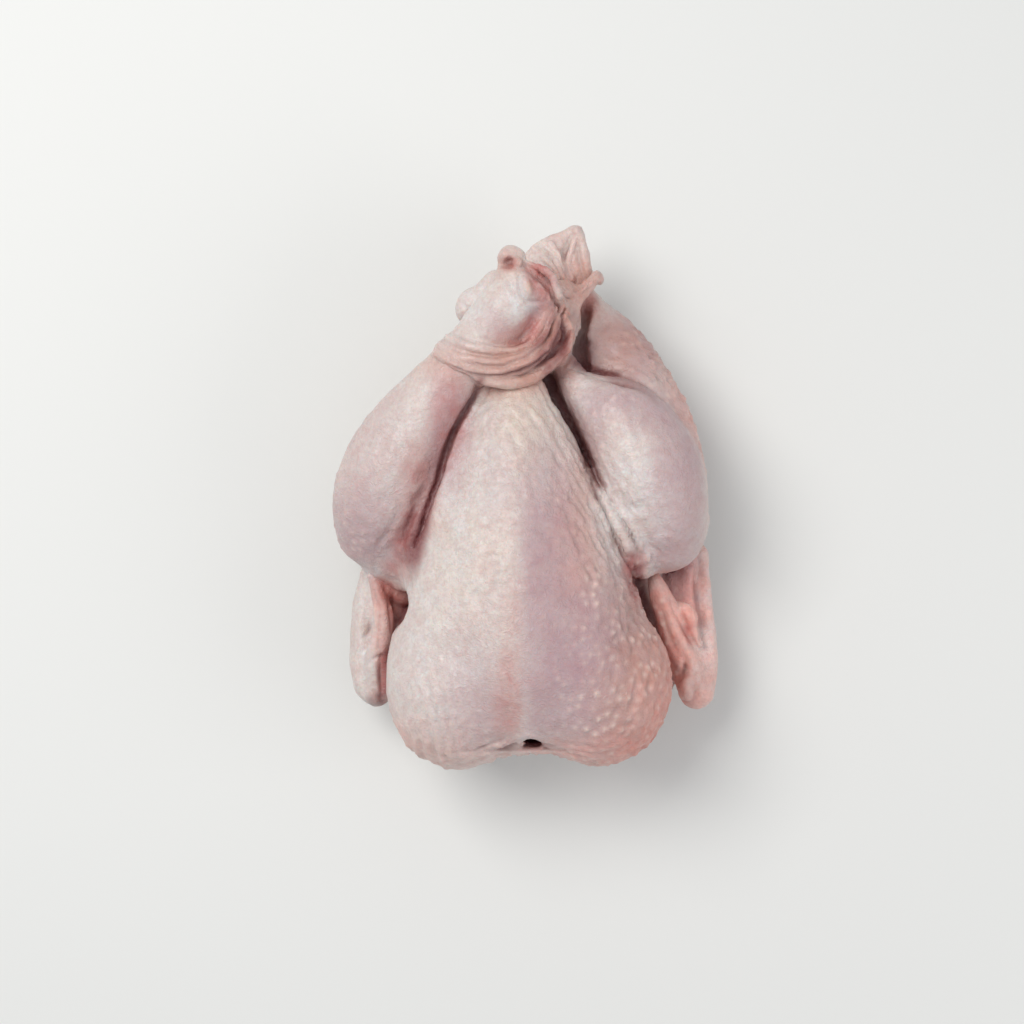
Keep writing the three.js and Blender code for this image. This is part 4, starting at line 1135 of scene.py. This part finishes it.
def skin_color(n):
    """Pink over pale, then each tint by its mask, then the painted shade of hollows, grooves and gaps, the
    mottling and painted highlights on the bumps' tops.
    """
    color = n.mix(n.range(n.noise(14, 4, 0.8), *PINK_RANGE), PALE, PINK)
    for mask, tint, size, least in TINTS:
        broken = n.range(n.noise(size, 4, 0.6), 0.3, 0.7, least, 1)
        color = n.mix(n.math("MULTIPLY", n.attribute(mask), broken), color, tint)
    # Painted shade: hollows and grooves, then gaps and clefts, darken the skin
    color = n.mix(n.range(n.attribute("hollow"), *HOLLOW_SHADE_RANGE), color, HOLLOW_SHADE)
    color = n.mix(n.range(n.attribute("gap_shade"), *GAP_SHADE_RANGE), color, GAP_SHADE)
    for size, detail, distortion, low, high, most in MOTTLES:
        color = n.mix(n.range(n.noise(size, detail, distortion), low, high, 0, most), color, PINK_SHADE)
    # Painted highlights on the tops of the goosebumps
    some = n.range(n.noise(14, 2), *BUMP_HIGHLIGHT_RANGE)
    return n.mix(n.math("MULTIPLY", n.attribute("bump"), some), color, BUMP_HIGHLIGHT)


def pore_height(n):
    """Pores, small cells and hair-thin creases, for the bump node."""
    pores = n.math("MULTIPLY", n.noise(PORES[0], 3), PORES[1])
    cells = n.math("MULTIPLY", n.texture("ShaderNodeTexVoronoi", CELLS[0]), CELLS[1])
    creases = n.math("ABSOLUTE", n.math("SUBTRACT", n.noise(CREASES[0], 2, 1.2), 0.5))
    return n.math("ADD", n.math("ADD", pores, cells), n.math("MULTIPLY", creases, CREASES[1]))


def skin_material():
    n = Nodes("raw_skin")
    n.plug(skin_color(n), n.shader.inputs["Base Color"])
    n.plug(n.range(n.noise(5, 3), *GLOSS_RANGE), n.shader.inputs["Roughness"])
    for socket, value in SHADER.items():
        n.shader.inputs[socket].default_value = value
    bump = n.add("ShaderNodeBump")
    bump.inputs["Strength"].default_value = BUMP_STRENGTH
    bump.inputs["Distance"].default_value = BUMP_DEPTH * MM
    n.plug(pore_height(n), bump.inputs["Height"])
    n.plug(bump.outputs["Normal"], n.shader.inputs["Normal"])
    return n.material


# ---- Pieces ----

def openness(field, points, normals):
    """1 where the skin faces open space, less in narrow gaps: looks outward, upward and between."""
    up = np.array([0, 0, 1.0])
    best = np.zeros(len(points))
    for direction in (normals, (normals + up) * UPWARD_LEAN, np.broadcast_to(up, points.shape)):
        best = np.maximum(best, field.sample(points + DEEP_REACH * direction) / DEEP_REACH)
    return np.clip(best / OPEN_SHARE, 0, 1)


def add_piece(name, field, relief, lines, hollow_shade_share=1.0, shade_share=1.0):
    """Meshes a field, presses the relief into it, writes its masks, and sets it on the root body."""
    points, faces = surface_net(field)
    points = settle(field, points)
    normals = field.gradient(points)
    normals /= np.linalg.norm(normals, axis=1)[:, None]
    hollow = np.clip(1 - field.sample(points + HOLLOW_REACH * normals) / HOLLOW_REACH, 0, 1)
    shut_in = 1 - openness(field, points, normals)
    folds = line_relief(points, lines) * ease_between(*FACING_UP, normals[:, 2])
    ground = ease_between(0, GROUND_EASE, points[:, 2])
    bumps = goosebumps(points)
    points = points + normals * ((relief(points, bumps) + folds) * ground)[:, None]
    points[:, 2] = np.maximum(points[:, 2], 0)
    piece = make_mesh(name, points, faces)
    # Painted shade in hollows and grooves
    add_mask(piece, "hollow", hollow_shade_share * hollow + GROOVE_SHADE * np.clip(-folds, 0, DEEPEST_GROOVE))
    # Painted shade in gaps and clefts: patches, shut-in places and lines of shade
    shade = shade_share * ease_between(*SHUT_IN, shut_in)
    lines_of_shade = np.clip(line_relief(points, SHADE_LINES), 0, 1)
    add_mask(piece, "gap_shade", 1 - (1 - patches(points, SHADE_PATCHES)) * (1 - shade) * (1 - lines_of_shade))
    add_mask(piece, "bump", bumps)
    add_mask(piece, "mauve_and_shade", mauve_and_shade_mask(points))
    for mask, rows in MASKS.items():
        add_mask(piece, mask, patches(points, rows))
    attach(piece, "root")
    return piece


# ---- The studio ----

def add_floor():
    bpy.ops.mesh.primitive_plane_add(size=FLOOR_SIZE)
    floor = bpy.context.object
    floor.name = "floor"
    paint = Nodes("floor_paint")
    paint.shader.inputs["Base Color"].default_value = FLOOR_COLOR
    paint.shader.inputs["Roughness"].default_value = FLOOR_ROUGHNESS
    floor.data.materials.append(paint.material)


def add_area_light(name, place, size, watts, color):
    light = bpy.data.lights.new(name, "AREA")
    light.energy = watts
    light.size = size
    light.color = color
    lamp = bpy.data.objects.new(name, light)
    lamp.location = place
    away = lamp.location - mathutils.Vector(LIGHT_TARGET)
    lamp.rotation_euler = away.to_track_quat("Z", "Y").to_euler()
    bpy.context.scene.collection.objects.link(lamp)


def add_lights():
    for name, settings in LIGHTS.items():
        add_area_light(name, *settings)
    world = bpy.data.worlds.new("studio")
    world.use_nodes = True
    sky = world.node_tree.nodes["Background"].inputs
    sky["Color"].default_value = SKY_COLOR
    sky["Strength"].default_value = SKY_STRENGTH
    bpy.context.scene.world = world


def add_camera():
    camera = bpy.data.cameras.new("camera")
    camera.sensor_width = SENSOR_WIDTH
    camera.lens = LENS
    eye = bpy.data.objects.new("camera", camera)
    eye.location = CAMERA_PLACE
    bpy.context.scene.collection.objects.link(eye)
    bpy.context.scene.camera = eye
    bpy.context.scene.view_settings.view_transform = "Standard"


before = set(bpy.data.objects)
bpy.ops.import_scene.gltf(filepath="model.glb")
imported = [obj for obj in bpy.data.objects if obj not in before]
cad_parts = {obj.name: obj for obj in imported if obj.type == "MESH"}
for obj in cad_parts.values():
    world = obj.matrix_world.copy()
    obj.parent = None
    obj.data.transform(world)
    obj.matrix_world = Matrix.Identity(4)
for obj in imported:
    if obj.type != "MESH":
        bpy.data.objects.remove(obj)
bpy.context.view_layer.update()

material = skin_material()
tail_relief = plain_relief(*TAIL_RELIEF, 41)
wing_relief = plain_relief(*WING_RELIEF, 51)
right_wing, left_wing = wing_field("right", RIGHT_WING), wing_field("left", LEFT_WING)
pieces = [
    add_piece("body_skin", body_field(), body_relief, BODY_LINES),
    add_piece("hock_knot", knot_field(), knot_relief, KNOT_LINES, hollow_shade_share=0.7),
    add_piece("tail_skin", tail_field(), tail_relief, TAIL_LINES, hollow_shade_share=0.35, shade_share=0.3),
    add_piece("right_wing", right_wing, wing_relief, RIGHT_WING_LINES, hollow_shade_share=0.2, shade_share=0.12),
    add_piece("left_wing", left_wing, wing_relief, LEFT_WING_LINES, hollow_shade_share=0.3, shade_share=0.2),
]
for piece in pieces:
    piece.data.materials.append(material)
    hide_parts("whole_chicken")

add_floor()
add_lights()
add_camera()
